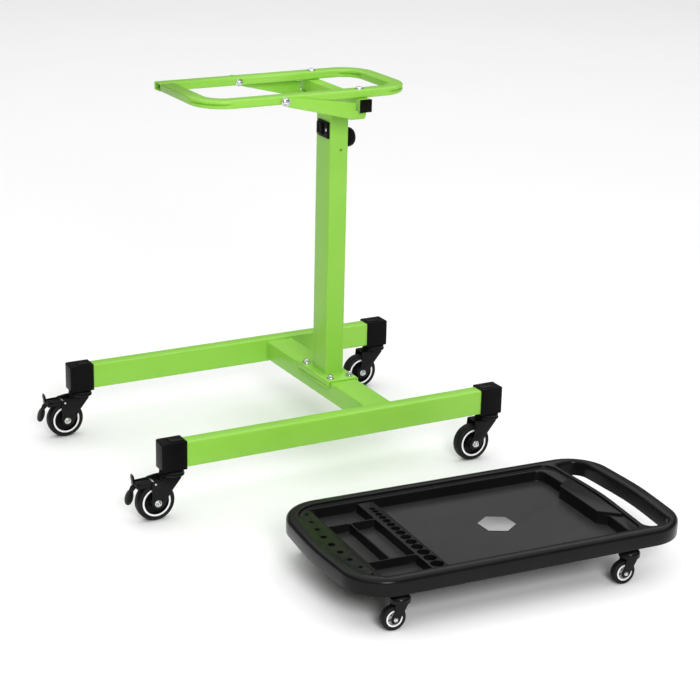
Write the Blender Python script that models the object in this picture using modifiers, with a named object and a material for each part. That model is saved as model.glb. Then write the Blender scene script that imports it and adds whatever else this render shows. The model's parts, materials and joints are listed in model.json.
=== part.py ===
"""Height-adjustable rolling work stand with its detachable rolling tool tray.

Metres, +Z up, floor at z = 0. The stand's legs and the tray's long side run along X.
The assembly's origin is the middle of its footprint, on the floor.
"""
import math

import bmesh
import bpy
from mathutils import Matrix, Vector

# ---- shared clearances -------------------------------------------------------------------
GAP = 0.0003            # between meshes that touch
RUN = 0.0008            # radial clearance of a pin or screw in its hole
ARC_STEPS = 6           # facets in a quarter bend
TURN_STEPS = 22         # facets around a wheel
BOLT_STEPS = 10         # facets around a bolt
PAST = 0.01             # how far a cutter runs past what it cuts

# ---- stand: base -------------------------------------------------------------------------
LEG_LENGTH = 0.733      # steel tube, end to end
LEG_SPACING = 0.468     # between the legs' centre lines
LEG_WIDTH = 0.030
LEG_HEIGHT = 0.050
TUBE_WALL = 0.0016
TUBE_CORNER = 0.003
BAR_WIDTH = 0.060       # cross bar between the legs
BAR_HEIGHT = 0.040
BAR_X = 0.105           # the cross bar and column stand nearer the plain casters
CAP_LENGTH = 0.050
CAP_WALL = 0.0025
CAP_SIDE = 0.0022       # wall beside the leg
LID_START = 0.018       # raised panel on the cap: in from the cap's outer end
LID_MARGIN = 0.005      # and from its other edges
LID_RISE = 0.0012

# ---- stand: column -----------------------------------------------------------------------
SADDLE_LENGTH = 0.136
SADDLE_THICK = 0.0035
SADDLE_LIP = 0.016
SADDLE_BOLT_X = 0.0215
SADDLE_BOLT_Y = 0.053
SADDLE_BOLT = 0.003
SADDLE_BOLT_HEAD = 0.0062
COLUMN_LENGTH = 0.540
COLUMN_DEEP = 0.040     # along X
COLUMN_WIDE = 0.060     # along Y
COLUMN_WALL = 0.002
MAST_SHORT = 0.030       # the mast is this much shorter than the column
MAST_WALL = 0.002
BUSH_WALL = 0.0022
BUSH_LENGTH = 0.060
BUSH_RIM = 0.0015
KNOB_DROP = 0.059       # knob's centre below the column's top
KNOB_RADIUS = 0.0195
KNOB_LENGTH = 0.025
KNOB_SCREW_RADIUS = 0.004
COVER_DROP = 0.037      # cover plate's centre below the column's top
COVER_WIDE = 0.046
COVER_HIGH = 0.033
COVER_THICK = 0.003
COVER_GRIP = 0.004
COVER_INSET = 0.003     # from the column's near edge
COVER_GRIP_START = 0.024
COVER_GRIP_HALF = 0.012
VENT_DROP = 0.077       # pilot hole in the column's front
VENT_RADIUS = 0.0025
VENT_OFFSET = 0.0035    # right of the column's middle

# ---- stand: tilting ring -----------------------------------------------------------------
RING_LENGTH = 0.446
RING_WIDTH = 0.228
RING_TUBE = 0.030       # tube width, seen from above
RING_HIGH = 0.0155
RING_WALL = 0.0015
RING_BEND = 0.066       # outer radius of the three bends
PIVOT_X = -0.0575
PIVOT_RADIUS = 0.004
PIVOT_UP = 0.0059       # pivot above the ring's underside
ARM_THICK = 0.003
CROSS_TUBE = 0.025      # square tube under the ring
CROSS_OFFSET = 0.003    # cross tube right of the column's middle
CROSS_PROUD = 0.008     # past each arm
CROSS_CAP = 0.003
LEDGE_RISE = 0.0145     # web's underside to the ledge that carries the cross tube

# ---- casters -----------------------------------------------------------------------------
# over: fork's top above the tyre; seat: from there up to what the caster carries; rim: tyre's depth;
# front: the plate's front corner; knee: where the arm's front edge turns, from the axle
STAND_CASTER = dict(radius=0.0375, width=0.022, over=0.0095, seat=0.0135, trail=0.0345,
                    arm=0.0025, race=0.0235, bolt=0.004, rim=0.009, stem=0.005,
                    arm_end=0.0115, front=0.0158, side_room=0.0035, knee=(0.0245, 0.0155))
TRAY_CASTER = dict(radius=0.022, width=0.0145, over=0.0055, seat=0.0165, trail=0.0118,
                   arm=0.002, race=0.0188, bolt=0.0022, rim=0.0068, stem=0.004,
                   arm_end=0.0072, front=0.0128, side_room=0.0015, knee=(0.0108, 0.0020))
STEM_RISE = 0.012       # stem above the caster's seat
PEDAL_BACK = 0.0045     # brake's rivet behind the axle
PEDAL_OVER = 0.0013     # and above the tyre
PEDAL_PAST = 0.003      # pedal's end past the tyre
PEDAL_PIN = 0.0022
PEDAL_SHEET = 0.0016
PEDAL_FRONT = 0.025     # the channel's front end and the fork plate's edge, behind the stem
PEDAL_PLATE = 0.023

# ---- tray --------------------------------------------------------------------------------
TRAY_X = 0.010          # where the tray is parked beside the stand
TRAY_Y = -0.661
TRAY_YAW = math.radians(-3.0)
TRAY_HALF_WIDTH = 0.178
TRAY_LEFT = -0.268      # left corners; the end bows out past them
TRAY_RIGHT = 0.376      # handle's corners
TRAY_BOW = 0.013
TRAY_CORNER = 0.078
TRAY_SKIRT = 0.030      # rim above the skirt's bottom edge
TRAY_WALL = 0.003
BEAD_WIDTH = 0.021
BEAD_ROUND = 0.007
LEDGE_DROP = 0.004
BASIN_DROP = 0.027
RIM_SIDE = 0.030        # outer edge to basin, along the long sides
RIM_LEFT = 0.055
RIM_RIGHT = 0.038       # from the handle's opening to the basin
OPENING_WIDTH = 0.062   # finger room inside the handle
HANDLE_GRIP = 0.027
HANDLE_SIDE = 0.023     # the handle's side rails
DIVIDER_THICK = 0.003
DIVIDER_DROP = 0.010    # dividers and socket rail below the rim
POCKET_FAR = 0.0705     # compartments' widths, in from the basin's far, near and left walls
POCKET_NEAR = 0.0655
POCKET_LEFT = 0.0425
POCKET_RIGHT = 0.0465   # from the divider to the socket rail
SOCKET_RAIL = 0.031     # rail's width
SOCKET_SMALL = 0.0105   # the row's first hole, and how much each next one grows
SOCKET_STEP = 0.00104
SOCKET_WEB = 0.0016
SOCKET_DEPTH = 0.014
SOCKET_START = 0.026    # from the basin's far wall
SOCKET_END = 0.007
DRIVER_HOLES = 9
DRIVER_SMALL = 0.007
DRIVER_LARGE = 0.013
DRIVER_MARGIN = 0.047
SLEEVE_WALL = 0.002     # tubes under the ledge that hold the shanks upright
BLOCK_DEPTH = 0.050
BLOCK_HALF = 0.063
BLOCK_FLARE = 0.014
BLOCK_SWEEP = 0.004     # the basin's end wall runs out by this much beside the block
BLOCK_DROP = 0.0015
BADGE_RADIUS = 0.0345
BADGE_THICK = 0.0012
BADGE_PLACE = (0.086, 0.005)
BADGE_TURN = math.radians(5.0)
CASTER_IN_LEFT = 0.076   # stems, in from the left corners, the opening and the sides
CASTER_IN_RIGHT = 0.044
CASTER_IN_SIDE = 0.015
BOSS_RADIUS = 0.0125

# ---- heights that follow from the above --------------------------------------------------
for caster in (STAND_CASTER, TRAY_CASTER):
    caster["fork_top"] = 2 * caster["radius"] + caster["over"]
    caster["height"] = caster["fork_top"] + caster["seat"]
    caster["hub"] = caster["radius"] - caster["rim"]
PEDAL_REACH = STAND_CASTER["radius"] + PEDAL_PAST - PEDAL_BACK
LEG_BOTTOM = STAND_CASTER["height"]
LEG_TOP = LEG_BOTTOM + LEG_HEIGHT
BAR_TOP = LEG_TOP - (LEG_HEIGHT - BAR_HEIGHT) / 2
SADDLE_TOP = BAR_TOP + GAP + SADDLE_THICK
COLUMN_BOTTOM = SADDLE_TOP + GAP
COLUMN_TOP = COLUMN_BOTTOM + COLUMN_LENGTH
WEB_BOTTOM = COLUMN_TOP + BUSH_RIM + 2 * GAP
MAST_LENGTH = COLUMN_LENGTH - MAST_SHORT
CROSS_X = BAR_X + CROSS_OFFSET
LEDGE_Z = WEB_BOTTOM + LEDGE_RISE
RING_BOTTOM = LEDGE_Z + CROSS_TUBE + 2 * GAP
PIVOT_Z = RING_BOTTOM + PIVOT_UP
ARM_Y = RING_WIDTH / 2 + 2 * GAP
TRAY_BOTTOM = TRAY_CASTER["height"]
TRAY_TOP = TRAY_BOTTOM + TRAY_SKIRT
BODY_RIGHT = TRAY_RIGHT + TRAY_BOW - HANDLE_GRIP - OPENING_WIDTH
BASIN_LEFT = TRAY_LEFT + RIM_LEFT
BASIN_RIGHT = BODY_RIGHT - RIM_RIGHT
BASIN_HALF_WIDTH = TRAY_HALF_WIDTH - RIM_SIDE
BLOCK_LEFT = BODY_RIGHT - BLOCK_DEPTH
DIVIDER_FAR_Y = BASIN_HALF_WIDTH - POCKET_FAR - DIVIDER_THICK / 2
DIVIDER_NEAR_Y = -BASIN_HALF_WIDTH + POCKET_NEAR + DIVIDER_THICK / 2
DIVIDER_X = BASIN_LEFT + POCKET_LEFT + DIVIDER_THICK / 2
SOCKET_RAIL_LEFT = DIVIDER_X + DIVIDER_THICK / 2 + POCKET_RIGHT
SOCKET_RAIL_RIGHT = SOCKET_RAIL_LEFT + SOCKET_RAIL
CASTER_LEFT = TRAY_LEFT + CASTER_IN_LEFT
CASTER_RIGHT = BODY_RIGHT - CASTER_IN_RIGHT
CASTER_Y = TRAY_HALF_WIDTH - CASTER_IN_SIDE

GREEN = ((0.29, 0.72, 0.11), 0.30, 0.0)
BLACK_PLASTIC = ((0.014, 0.014, 0.015), 0.50, 0.0)
TRAY_PLASTIC = ((0.026, 0.026, 0.027), 0.45, 0.0)
BLACK_STEEL = ((0.010, 0.010, 0.011), 0.35, 0.3)
ZINC = ((0.62, 0.63, 0.65), 0.30, 1.0)
TYRE = ((0.012, 0.012, 0.012), 0.60, 0.0)
HUB = ((0.020, 0.020, 0.021), 0.45, 0.0)
BADGE_GREY = ((0.42, 0.42, 0.43), 0.50, 0.0)
BUSH_NYLON = ((0.030, 0.030, 0.030), 0.55, 0.0)


def clear_scene():
    for obj in list(bpy.data.objects):
        bpy.data.objects.remove(obj, do_unlink=True)


def make_collection(name):
    collection = bpy.data.collections.new(name)
    bpy.context.scene.collection.children.link(collection)
    return collection


def material(name, look):
    """A Principled material from (colour, roughness, metallic)."""
    if name in bpy.data.materials:
        return bpy.data.materials[name]
    made = bpy.data.materials.new(name)
    made.use_nodes = True
    shader = made.node_tree.nodes["Principled BSDF"]
    shader.inputs["Base Color"].default_value = (*look[0], 1.0)
    shader.inputs["Roughness"].default_value = look[1]
    shader.inputs["Metallic"].default_value = look[2]
    return made


def empty(name, place, parent=None, turn=0.0):
    obj = bpy.data.objects.new(name, None)
    PARTS.objects.link(obj)
    obj.location = place
    obj.rotation_euler = (0.0, 0.0, turn)
    obj.parent = parent
    return obj


def add_object(name, mesh, look, parent, place=(0.0, 0.0, 0.0), cutter=False):
    obj = bpy.data.objects.new(name, mesh)
    obj.location = place
    obj.parent = parent
    if cutter:
        CUTTERS.objects.link(obj)
        obj.hide_render = True
        obj.display_type = "WIRE"
        return obj
    PARTS.objects.link(obj)
    if look is not None:
        mesh.materials.append(look)
    return obj


def weld(mesh):
    """Merges a curve's loose caps into its sides and points every face out."""
    work = bmesh.new()
    work.from_mesh(mesh)
    bmesh.ops.remove_doubles(work, verts=work.verts, dist=0.00002)
    bmesh.ops.recalc_face_normals(work, faces=work.faces)
    work.to_mesh(mesh)
    work.free()
    return mesh


def slab_mesh(name, outline, low, high, side=False):
    """A flat outline as a solid: (x, y) points between two heights, or (x, z) points across Y."""
    curve = bpy.data.curves.new(name, "CURVE")
    curve.dimensions = "2D"
    curve.fill_mode = "BOTH"
    curve.extrude = (high - low) / 2
    spline = curve.splines.new("POLY")
    spline.points.add(len(outline) - 1)
    for point, (u, v) in zip(spline.points, outline):
        point.co = (u, v, 0.0, 1.0)
    spline.use_cyclic_u = True
    holder = bpy.data.objects.new(name, curve)
    bpy.context.scene.collection.objects.link(holder)
    shown = holder.evaluated_get(bpy.context.evaluated_depsgraph_get())
    mesh = bpy.data.meshes.new_from_object(shown)
    bpy.data.objects.remove(holder, do_unlink=True)
    mesh.transform(Matrix.Translation((0.0, 0.0, (low + high) / 2)))
    if side:
        mesh.transform(Matrix.Rotation(math.radians(90), 4, "X"))
    return weld(mesh)


def box_mesh(name, low, high):
    work = bmesh.new()
    bmesh.ops.create_cube(work, size=1.0)
    size = Vector(high) - Vector(low)
    bmesh.ops.scale(work, vec=size, verts=work.verts)
    bmesh.ops.translate(work, vec=(Vector(low) + Vector(high)) / 2, verts=work.verts)
    mesh = bpy.data.meshes.new(name)
    work.to_mesh(mesh)
    work.free()
    return mesh


def rod_mesh(name, radius, low, high, place=(0.0, 0.0), axis="Z", steps=BOLT_STEPS):
    """A cylinder along an axis, from low to high, centred on the other two coordinates."""
    work = bmesh.new()
    bmesh.ops.create_cone(work, cap_ends=True, segments=steps, radius1=radius, radius2=radius,
                          depth=high - low)
    bmesh.ops.translate(work, vec=(0.0, 0.0, (low + high) / 2), verts=work.verts)
    mesh = bpy.data.meshes.new(name)
    work.to_mesh(mesh)
    work.free()
    if axis == "Y":
        mesh.transform(Matrix.Rotation(math.radians(-90), 4, "X"))
        mesh.transform(Matrix.Translation((place[0], 0.0, place[1])))
    elif axis == "X":
        mesh.transform(Matrix.Rotation(math.radians(90), 4, "Y"))
        mesh.transform(Matrix.Translation((0.0, place[0], place[1])))
    else:
        mesh.transform(Matrix.Translation((place[0], place[1], 0.0)))
    return mesh


def round_edges(mesh, height, width, segments):
    """Rounds the sharp edges that lie at a height."""
    work = bmesh.new()
    work.from_mesh(mesh)
    edges = [edge for edge in work.edges
             if all(abs(vertex.co.z - height) < 0.00001 for vertex in edge.verts)
             and edge.calc_face_angle(0.0) > math.radians(60)]
    bmesh.ops.bevel(work, geom=edges, offset=width, affect="EDGES", segments=segments,
                    profile=0.5, material=-1)
    work.to_mesh(mesh)
    work.free()


def rounded(corners, steps=ARC_STEPS):
    """A closed outline from (x, y, radius) corners, each rounded by an arc."""
    outline = []
    count = len(corners)
    for i, (x, y, radius) in enumerate(corners):
        corner = Vector((x, y))
        back = Vector(corners[i - 1][:2]) - corner
        ahead = Vector(corners[(i + 1) % count][:2]) - corner
        back.normalize()
        ahead.normalize()
        opening = back.angle(ahead)
        if radius <= 0.0 or abs(opening - math.pi) < 0.001:
            outline.append((x, y))
            continue
        reach = radius / math.tan(opening / 2)
        middle = (back + ahead).normalized() * (radius / math.sin(opening / 2))
        centre = corner + middle
        start = corner + back * reach - centre
        sweep = math.pi - opening
        if back.cross(ahead) > 0:
            sweep = -sweep
        arc = max(1, round(steps * abs(sweep) / (math.pi / 2)))
        for step in range(arc + 1):
            point = centre + Matrix.Rotation(sweep * step / arc, 2) @ start
            outline.append((point.x, point.y))
    return outline


def boolean(target, tool, operation="DIFFERENCE"):
    modifier = target.modifiers.new(tool.name, "BOOLEAN")
    modifier.operation = operation
    modifier.solver = "EXACT"
    modifier.object = tool


def cut(target, name, mesh, parent=None, place=None):
    """Cuts a mesh, made in the target's own frame, out of the target."""
    where = target.location if place is None else place
    boolean(target, add_object(name, mesh, None, parent or target.parent, where, cutter=True))


def join(target, name, mesh):
    tool = add_object(name, mesh, None, target.parent, target.location, cutter=True)
    boolean(target, tool, "UNION")


def turned(name, profile, look, parent, place=(0.0, 0.0, 0.0), axis="Z", steps=TURN_STEPS,
           ring=False):
    """A turned piece: (radius, height) points, down the outer side, spun by a Screw modifier."""
    work = bmesh.new()
    points = [work.verts.new((radius, 0.0, height)) for radius, height in profile]
    for first, second in zip(points, points[1:]):
        work.edges.new((first, second))
    if ring:
        work.edges.new((points[-1], points[0]))
    mesh = bpy.data.meshes.new(name)
    work.to_mesh(mesh)
    work.free()
    obj = add_object(name, mesh, look, parent, place)
    screw = obj.modifiers.new("turn", "SCREW")
    screw.steps = steps
    screw.render_steps = steps
    screw.use_merge_vertices = True
    screw.merge_threshold = 0.00001
    screw.use_smooth_shade = True
    if axis == "Y":
        obj.rotation_euler = (math.radians(90), 0.0, 0.0)
    if axis == "X":
        obj.rotation_euler = (0.0, math.radians(90), 0.0)
    return obj


def hollow_tube(name, size, length, wall, look, parent, place, along="X"):
    """A rectangular steel tube, open at both ends: size is its two outer sides across it."""
    work = bmesh.new()
    bmesh.ops.create_cube(work, size=1.0)
    bmesh.ops.scale(work, vec=(size[0], size[1], length), verts=work.verts)
    ends = [face for face in work.faces if abs(face.normal.z) > 0.5]
    bmesh.ops.delete(work, geom=ends, context="FACES_ONLY")
    edges = [edge for edge in work.edges if abs((edge.verts[0].co - edge.verts[1].co).z) > length / 2]
    bmesh.ops.bevel(work, geom=edges, offset=TUBE_CORNER, affect="EDGES", segments=2, profile=0.5,
                    material=-1)
    mesh = bpy.data.meshes.new(name)
    work.to_mesh(mesh)
    work.free()
    if along == "X":
        mesh.transform(Matrix.Rotation(math.radians(90), 4, "Y"))
    if along == "Y":
        mesh.transform(Matrix.Rotation(math.radians(90), 4, "X"))
    obj = add_object(name, mesh, look, parent, place)
    solid = obj.modifiers.new("wall", "SOLIDIFY")
    solid.thickness = wall
    solid.offset = -1.0
    return obj


def bolt(name, parent, place, grip, shank, head, axis="Z"):
    """A domed bolt through a grip that runs down from its head's seat, with its nut below."""
    crown = head * 0.75
    end = -(grip + head * 0.9)
    profile = [(0.0, crown), (head * 0.55, crown * 0.9), (head * 0.95, crown * 0.4), (head, 0.0),
               (shank, 0.0), (shank, -grip), (head * 0.9, -grip), (head * 0.9, end), (0.0, end)]
    return turned(name, profile, ZINC_LOOK, parent, place, axis, BOLT_STEPS)


# ---- stand -------------------------------------------------------------------------------
def make_leg(name, stand, y):
    leg = hollow_tube(name, (LEG_HEIGHT, LEG_WIDTH), LEG_LENGTH, TUBE_WALL, GREEN_LOOK, stand,
                      (0.0, y, LEG_BOTTOM + LEG_HEIGHT / 2))
    for end in (-1, 1):
        hole = rod_mesh(name + "_stem_hole", STAND_CASTER["stem"] + 3 * RUN, -LEG_HEIGHT, 0.0,
                        (end * STEM_X, 0.0))
        cut(leg, name + "_stem_hole", hole)
    return leg


def make_leg_cap(name, stand, y, end):
    """A moulded cup over a leg's end, with the caster's stem hole in its floor."""
    inner = LEG_LENGTH / 2 + GAP
    x0, x1 = sorted((end * (inner + CAP_WALL), end * (inner + CAP_WALL - CAP_LENGTH)))
    half = LEG_WIDTH / 2 + GAP + CAP_SIDE
    top = LEG_TOP + GAP + CAP_WALL
    cap = add_object(name, box_mesh(name, (x0, -half, LEG_BOTTOM - CAP_WALL), (x1, half, top)),
                     BLACK_LOOK, stand, (0.0, y, 0.0))
    edge = cap.modifiers.new("round", "BEVEL")
    edge.width = 0.003
    edge.segments = 2
    edge.limit_method = "ANGLE"
    low, high = sorted((end * (inner + CAP_WALL - LID_START),
                        end * (inner + CAP_WALL - CAP_LENGTH + LID_MARGIN)))
    side = half - LID_MARGIN
    lid = rounded([(low, -side, 0.003), (high, -side, 0.003), (high, side, 0.003),
                   (low, side, 0.003)], 2)
    join(cap, name + "_lid", slab_mesh(name + "_lid", lid, top - LID_RISE, top + LID_RISE))
    socket = box_mesh(name + "_socket",
                      (min(end * inner, end * (inner - 2 * CAP_LENGTH)), -LEG_WIDTH / 2 - GAP,
                       LEG_BOTTOM - GAP),
                      (max(end * inner, end * (inner - 2 * CAP_LENGTH)), LEG_WIDTH / 2 + GAP,
                       LEG_TOP + GAP))
    cut(cap, name + "_socket", socket)
    hole = rod_mesh(name + "_stem_hole", STAND_CASTER["stem"] + RUN, LEG_BOTTOM - PAST,
                    LEG_BOTTOM + PAST, (end * STEM_X, 0.0), steps=16)
    cut(cap, name + "_stem_hole", hole)
    return cap


def make_base(stand):
    for name, y in (("near", -LEG_SPACING / 2), ("far", LEG_SPACING / 2)):
        make_leg("leg_" + name, stand, y)
        make_leg_cap("leg_cap_left_" + name, stand, y, -1)
        make_leg_cap("leg_cap_right_" + name, stand, y, 1)
    span = LEG_SPACING - LEG_WIDTH - 2 * GAP
    bar = hollow_tube("cross_bar", (BAR_WIDTH, BAR_HEIGHT), span, TUBE_WALL, GREEN_LOOK, stand,
                      (BAR_X, 0.0, BAR_TOP - BAR_HEIGHT / 2), "Y")
    for x in (-SADDLE_BOLT_X, SADDLE_BOLT_X):
        for y in (-SADDLE_BOLT_Y, SADDLE_BOLT_Y):
            hole = rod_mesh("bar_bolt_hole", SADDLE_BOLT + RUN, 0.0, BAR_HEIGHT, (x, y))
            cut(bar, "bar_bolt_hole", hole)
    return bar


def make_saddle(stand):
    """A folded plate over the cross bar, its lips down both sides, bolted through the bar's top."""
    inner = BAR_WIDTH / 2 + 2 * GAP
    outer = inner + SADDLE_THICK
    low = SADDLE_TOP - SADDLE_LIP
    corner = SADDLE_THICK * 0.9
    outline = rounded([(-outer, low, 0.0), (-inner, low, 0.0),
                       (-inner, SADDLE_TOP - SADDLE_THICK, 0.0),
                       (inner, SADDLE_TOP - SADDLE_THICK, 0.0), (inner, low, 0.0),
                       (outer, low, 0.0), (outer, SADDLE_TOP, corner),
                       (-outer, SADDLE_TOP, corner)], 3)
    half = SADDLE_LENGTH / 2
    saddle = add_object("column_saddle", slab_mesh("column_saddle", outline, -half, half, True),
                        GREEN_LOOK, stand, (BAR_X, 0.0, 0.0))
    number = 0
    for y in (-SADDLE_BOLT_Y, SADDLE_BOLT_Y):
        for x in (-SADDLE_BOLT_X, SADDLE_BOLT_X):
            number += 1
            hole = rod_mesh("saddle_bolt_hole", SADDLE_BOLT + RUN, SADDLE_TOP - PAST,
                            SADDLE_TOP + PAST, (x, y))
            cut(saddle, "saddle_bolt_hole", hole)
            bolt("saddle_bolt_%d" % number, stand, (BAR_X + x, y, SADDLE_TOP + GAP),
                 SADDLE_THICK + TUBE_WALL + 3 * GAP, SADDLE_BOLT, SADDLE_BOLT_HEAD)
    return saddle


def make_column(stand):
    middle = (COLUMN_BOTTOM + COLUMN_TOP) / 2
    column = hollow_tube("column_tube", (COLUMN_DEEP, COLUMN_WIDE), COLUMN_LENGTH, COLUMN_WALL,
                         GREEN_LOOK, stand, (BAR_X, 0.0, middle), "Z")
    half = COLUMN_LENGTH / 2
    screw = rod_mesh("knob_screw_hole", KNOB_SCREW_RADIUS + RUN, 0.0, COLUMN_DEEP,
                     (0.0, half - KNOB_DROP), "X", 16)
    cut(column, "knob_screw_hole", screw)
    vent = rod_mesh("pilot_hole", VENT_RADIUS, -COLUMN_WIDE, 0.0, (VENT_OFFSET, half - VENT_DROP), "Y")
    cut(column, "pilot_hole", vent)
    return column


def make_bush(stand):
    """The nylon sleeve in the column's mouth that the mast slides in, with a rim on the top."""
    deep = COLUMN_DEEP - 2 * (COLUMN_WALL + GAP)
    wide = COLUMN_WIDE - 2 * (COLUMN_WALL + GAP)
    low = COLUMN_TOP - BUSH_LENGTH
    top = COLUMN_TOP + GAP + BUSH_RIM
    corner = TUBE_CORNER * 0.5

    def rectangle(x, y, radius):
        return rounded([(-x, -y, radius), (x, -y, radius), (x, y, radius), (-x, y, radius)], 2)
    sleeve = slab_mesh("column_bush", rectangle(deep / 2, wide / 2, corner), low, top - 0.0001)
    bush = add_object("column_bush", sleeve, BUSH_LOOK, stand, (BAR_X, 0.0, 0.0))
    rim = rectangle(COLUMN_DEEP / 2, COLUMN_WIDE / 2, TUBE_CORNER)
    join(bush, "bush_rim", slab_mesh("bush_rim", rim, COLUMN_TOP + GAP, top))
    bore = rectangle(deep / 2 - BUSH_WALL, wide / 2 - BUSH_WALL, corner)
    cut(bush, "bush_bore", slab_mesh("bush_bore", bore, low - PAST, top + PAST))
    screw = rod_mesh("bush_screw_hole", KNOB_SCREW_RADIUS + RUN, 0.0, COLUMN_DEEP,
                     (0.0, COLUMN_TOP - KNOB_DROP), "X", 16)
    cut(bush, "bush_screw_hole", screw)
    return bush


def make_cover(stand):
    """The black cover plate high on the column's left face, with its raised grip."""
    x = BAR_X - COLUMN_DEEP / 2 - GAP
    z = COLUMN_TOP - COVER_DROP
    low_y = -COLUMN_WIDE / 2 + COVER_INSET
    high_y = low_y + COVER_WIDE
    plate = box_mesh("column_cover", (x - COVER_THICK, low_y, z - COVER_HIGH / 2),
                     (x, high_y, z + COVER_HIGH / 2))
    cover = add_object("column_cover", plate, BLACK_LOOK, stand)
    grip = box_mesh("cover_grip", (x - COVER_THICK - COVER_GRIP, low_y + COVER_GRIP_START,
                                    z - COVER_GRIP_HALF),
                    (x - COVER_THICK / 2, high_y - COVER_GRIP / 2, z + COVER_GRIP_HALF))
    join(cover, "cover_grip", grip)
    edge = cover.modifiers.new("round", "BEVEL")
    edge.width = 0.0012
    edge.segments = 2
    edge.limit_method = "ANGLE"
    edge.angle_limit = math.radians(50)
    return cover


def make_knob(stand):
    """The screw knob that clamps the mast through the column's right face."""
    start = BAR_X + COLUMN_DEEP / 2 + GAP
    tip = mast_half_deep() - COLUMN_DEEP / 2
    profile = [(0.0, KNOB_LENGTH), (KNOB_RADIUS * 0.6, KNOB_LENGTH * 0.97),
               (KNOB_RADIUS * 0.92, KNOB_LENGTH * 0.78), (KNOB_RADIUS, KNOB_LENGTH * 0.5),
               (KNOB_RADIUS * 0.94, KNOB_LENGTH * 0.2), (KNOB_RADIUS * 0.6, 0.0),
               (KNOB_SCREW_RADIUS, 0.0), (KNOB_SCREW_RADIUS, tip), (0.0, tip)]
    return turned("lock_knob", profile, BLACK_LOOK, stand,
                  (start, 0.0, COLUMN_TOP - KNOB_DROP), "X", 20)


def mast_half_deep():
    return COLUMN_DEEP / 2 - COLUMN_WALL - GAP - BUSH_WALL - GAP


def mast_half_wide():
    return COLUMN_WIDE / 2 - COLUMN_WALL - GAP - BUSH_WALL - GAP


def make_mast(head):
    """The inner mast, hung from the ring's support and sliding in the column."""
    top = WEB_BOTTOM - GAP
    return hollow_tube("inner_mast", (2 * mast_half_deep(), 2 * mast_half_wide()), MAST_LENGTH,
                       MAST_WALL, GREEN_LOOK, head, (BAR_X, 0.0, top - MAST_LENGTH / 2), "Z")


def make_support(head):
    """Two side arms joined by a web on the mast; a ledge at the right carries the cross tube."""
    notch = CROSS_X - CROSS_TUBE / 2 - 0.0035
    right = BAR_X + 0.009
    web_left = BAR_X - 0.024
    arm = rounded([(PIVOT_X, PIVOT_Z - 0.0090, 0.0), (web_left, WEB_BOTTOM + 0.002, 0.030),
                   (right, WEB_BOTTOM, 0.006), (right, LEDGE_Z, 0.0), (notch, LEDGE_Z, 0.0),
                   (notch, LEDGE_Z + 0.0175, 0.0015), (PIVOT_X + 0.086, PIVOT_Z - 0.0035, 0.0),
                   (PIVOT_X, PIVOT_Z + 0.0092, 0.0), (PIVOT_X - 0.0095, PIVOT_Z, 0.006)])
    outer = ARM_Y + ARM_THICK
    support = add_object("ring_support", slab_mesh("ring_support", arm, -outer, outer, True),
                         GREEN_LOOK, head)
    between = box_mesh("arm_gap", (-0.2, -ARM_Y, WEB_BOTTOM + 0.005), (0.3, ARM_Y, 1.2))
    cut(support, "arm_gap", between)
    cut(support, "web_end", box_mesh("web_end", (-0.2, -ARM_Y, WEB_BOTTOM - 0.1),
                                     (web_left, ARM_Y, 1.2)))
    pivot = rod_mesh("arm_pivot_hole", PIVOT_RADIUS + RUN, -outer - PAST, outer + PAST,
                     (PIVOT_X, PIVOT_Z), "Y", 16)
    cut(support, "arm_pivot_hole", pivot)
    relief = rod_mesh("notch_relief", 0.0025, -outer - PAST, outer + PAST, (notch, LEDGE_Z), "Y")
    cut(support, "notch_relief", relief)
    for name, side in (("near", -1), ("far", 1)):
        seat = side * (outer + GAP)
        pin = bolt("pivot_bolt_" + name, head, (PIVOT_X, seat, PIVOT_Z), RING_TUBE + ARM_THICK + 0.002,
                   PIVOT_RADIUS, 0.0072, "Y")
        if side > 0:
            pin.rotation_euler.x -= math.pi
    return support


def ring_band(inset, reach):
    """The ring tube's plan: one bent tube that starts and ends at the square far-left corner."""
    x = RING_LENGTH / 2
    y = RING_WIDTH / 2
    inner = RING_TUBE
    end_left = -x - reach
    butt = y - inner - GAP + reach
    outer_radius = RING_BEND - inset
    inner_radius = RING_BEND - inner + inset
    a = x - inset
    b = y - inset
    c = x - inner + inset
    d = y - inner + inset
    return rounded([(end_left, b, 0.0), (a, b, outer_radius), (a, -b, outer_radius),
                    (-a, -b, outer_radius), (-a, butt, 0.0), (-c, butt, 0.0),
                    (-c, -d, inner_radius), (c, -d, inner_radius), (c, d, inner_radius),
                    (end_left, d, 0.0)], 7)


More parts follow.
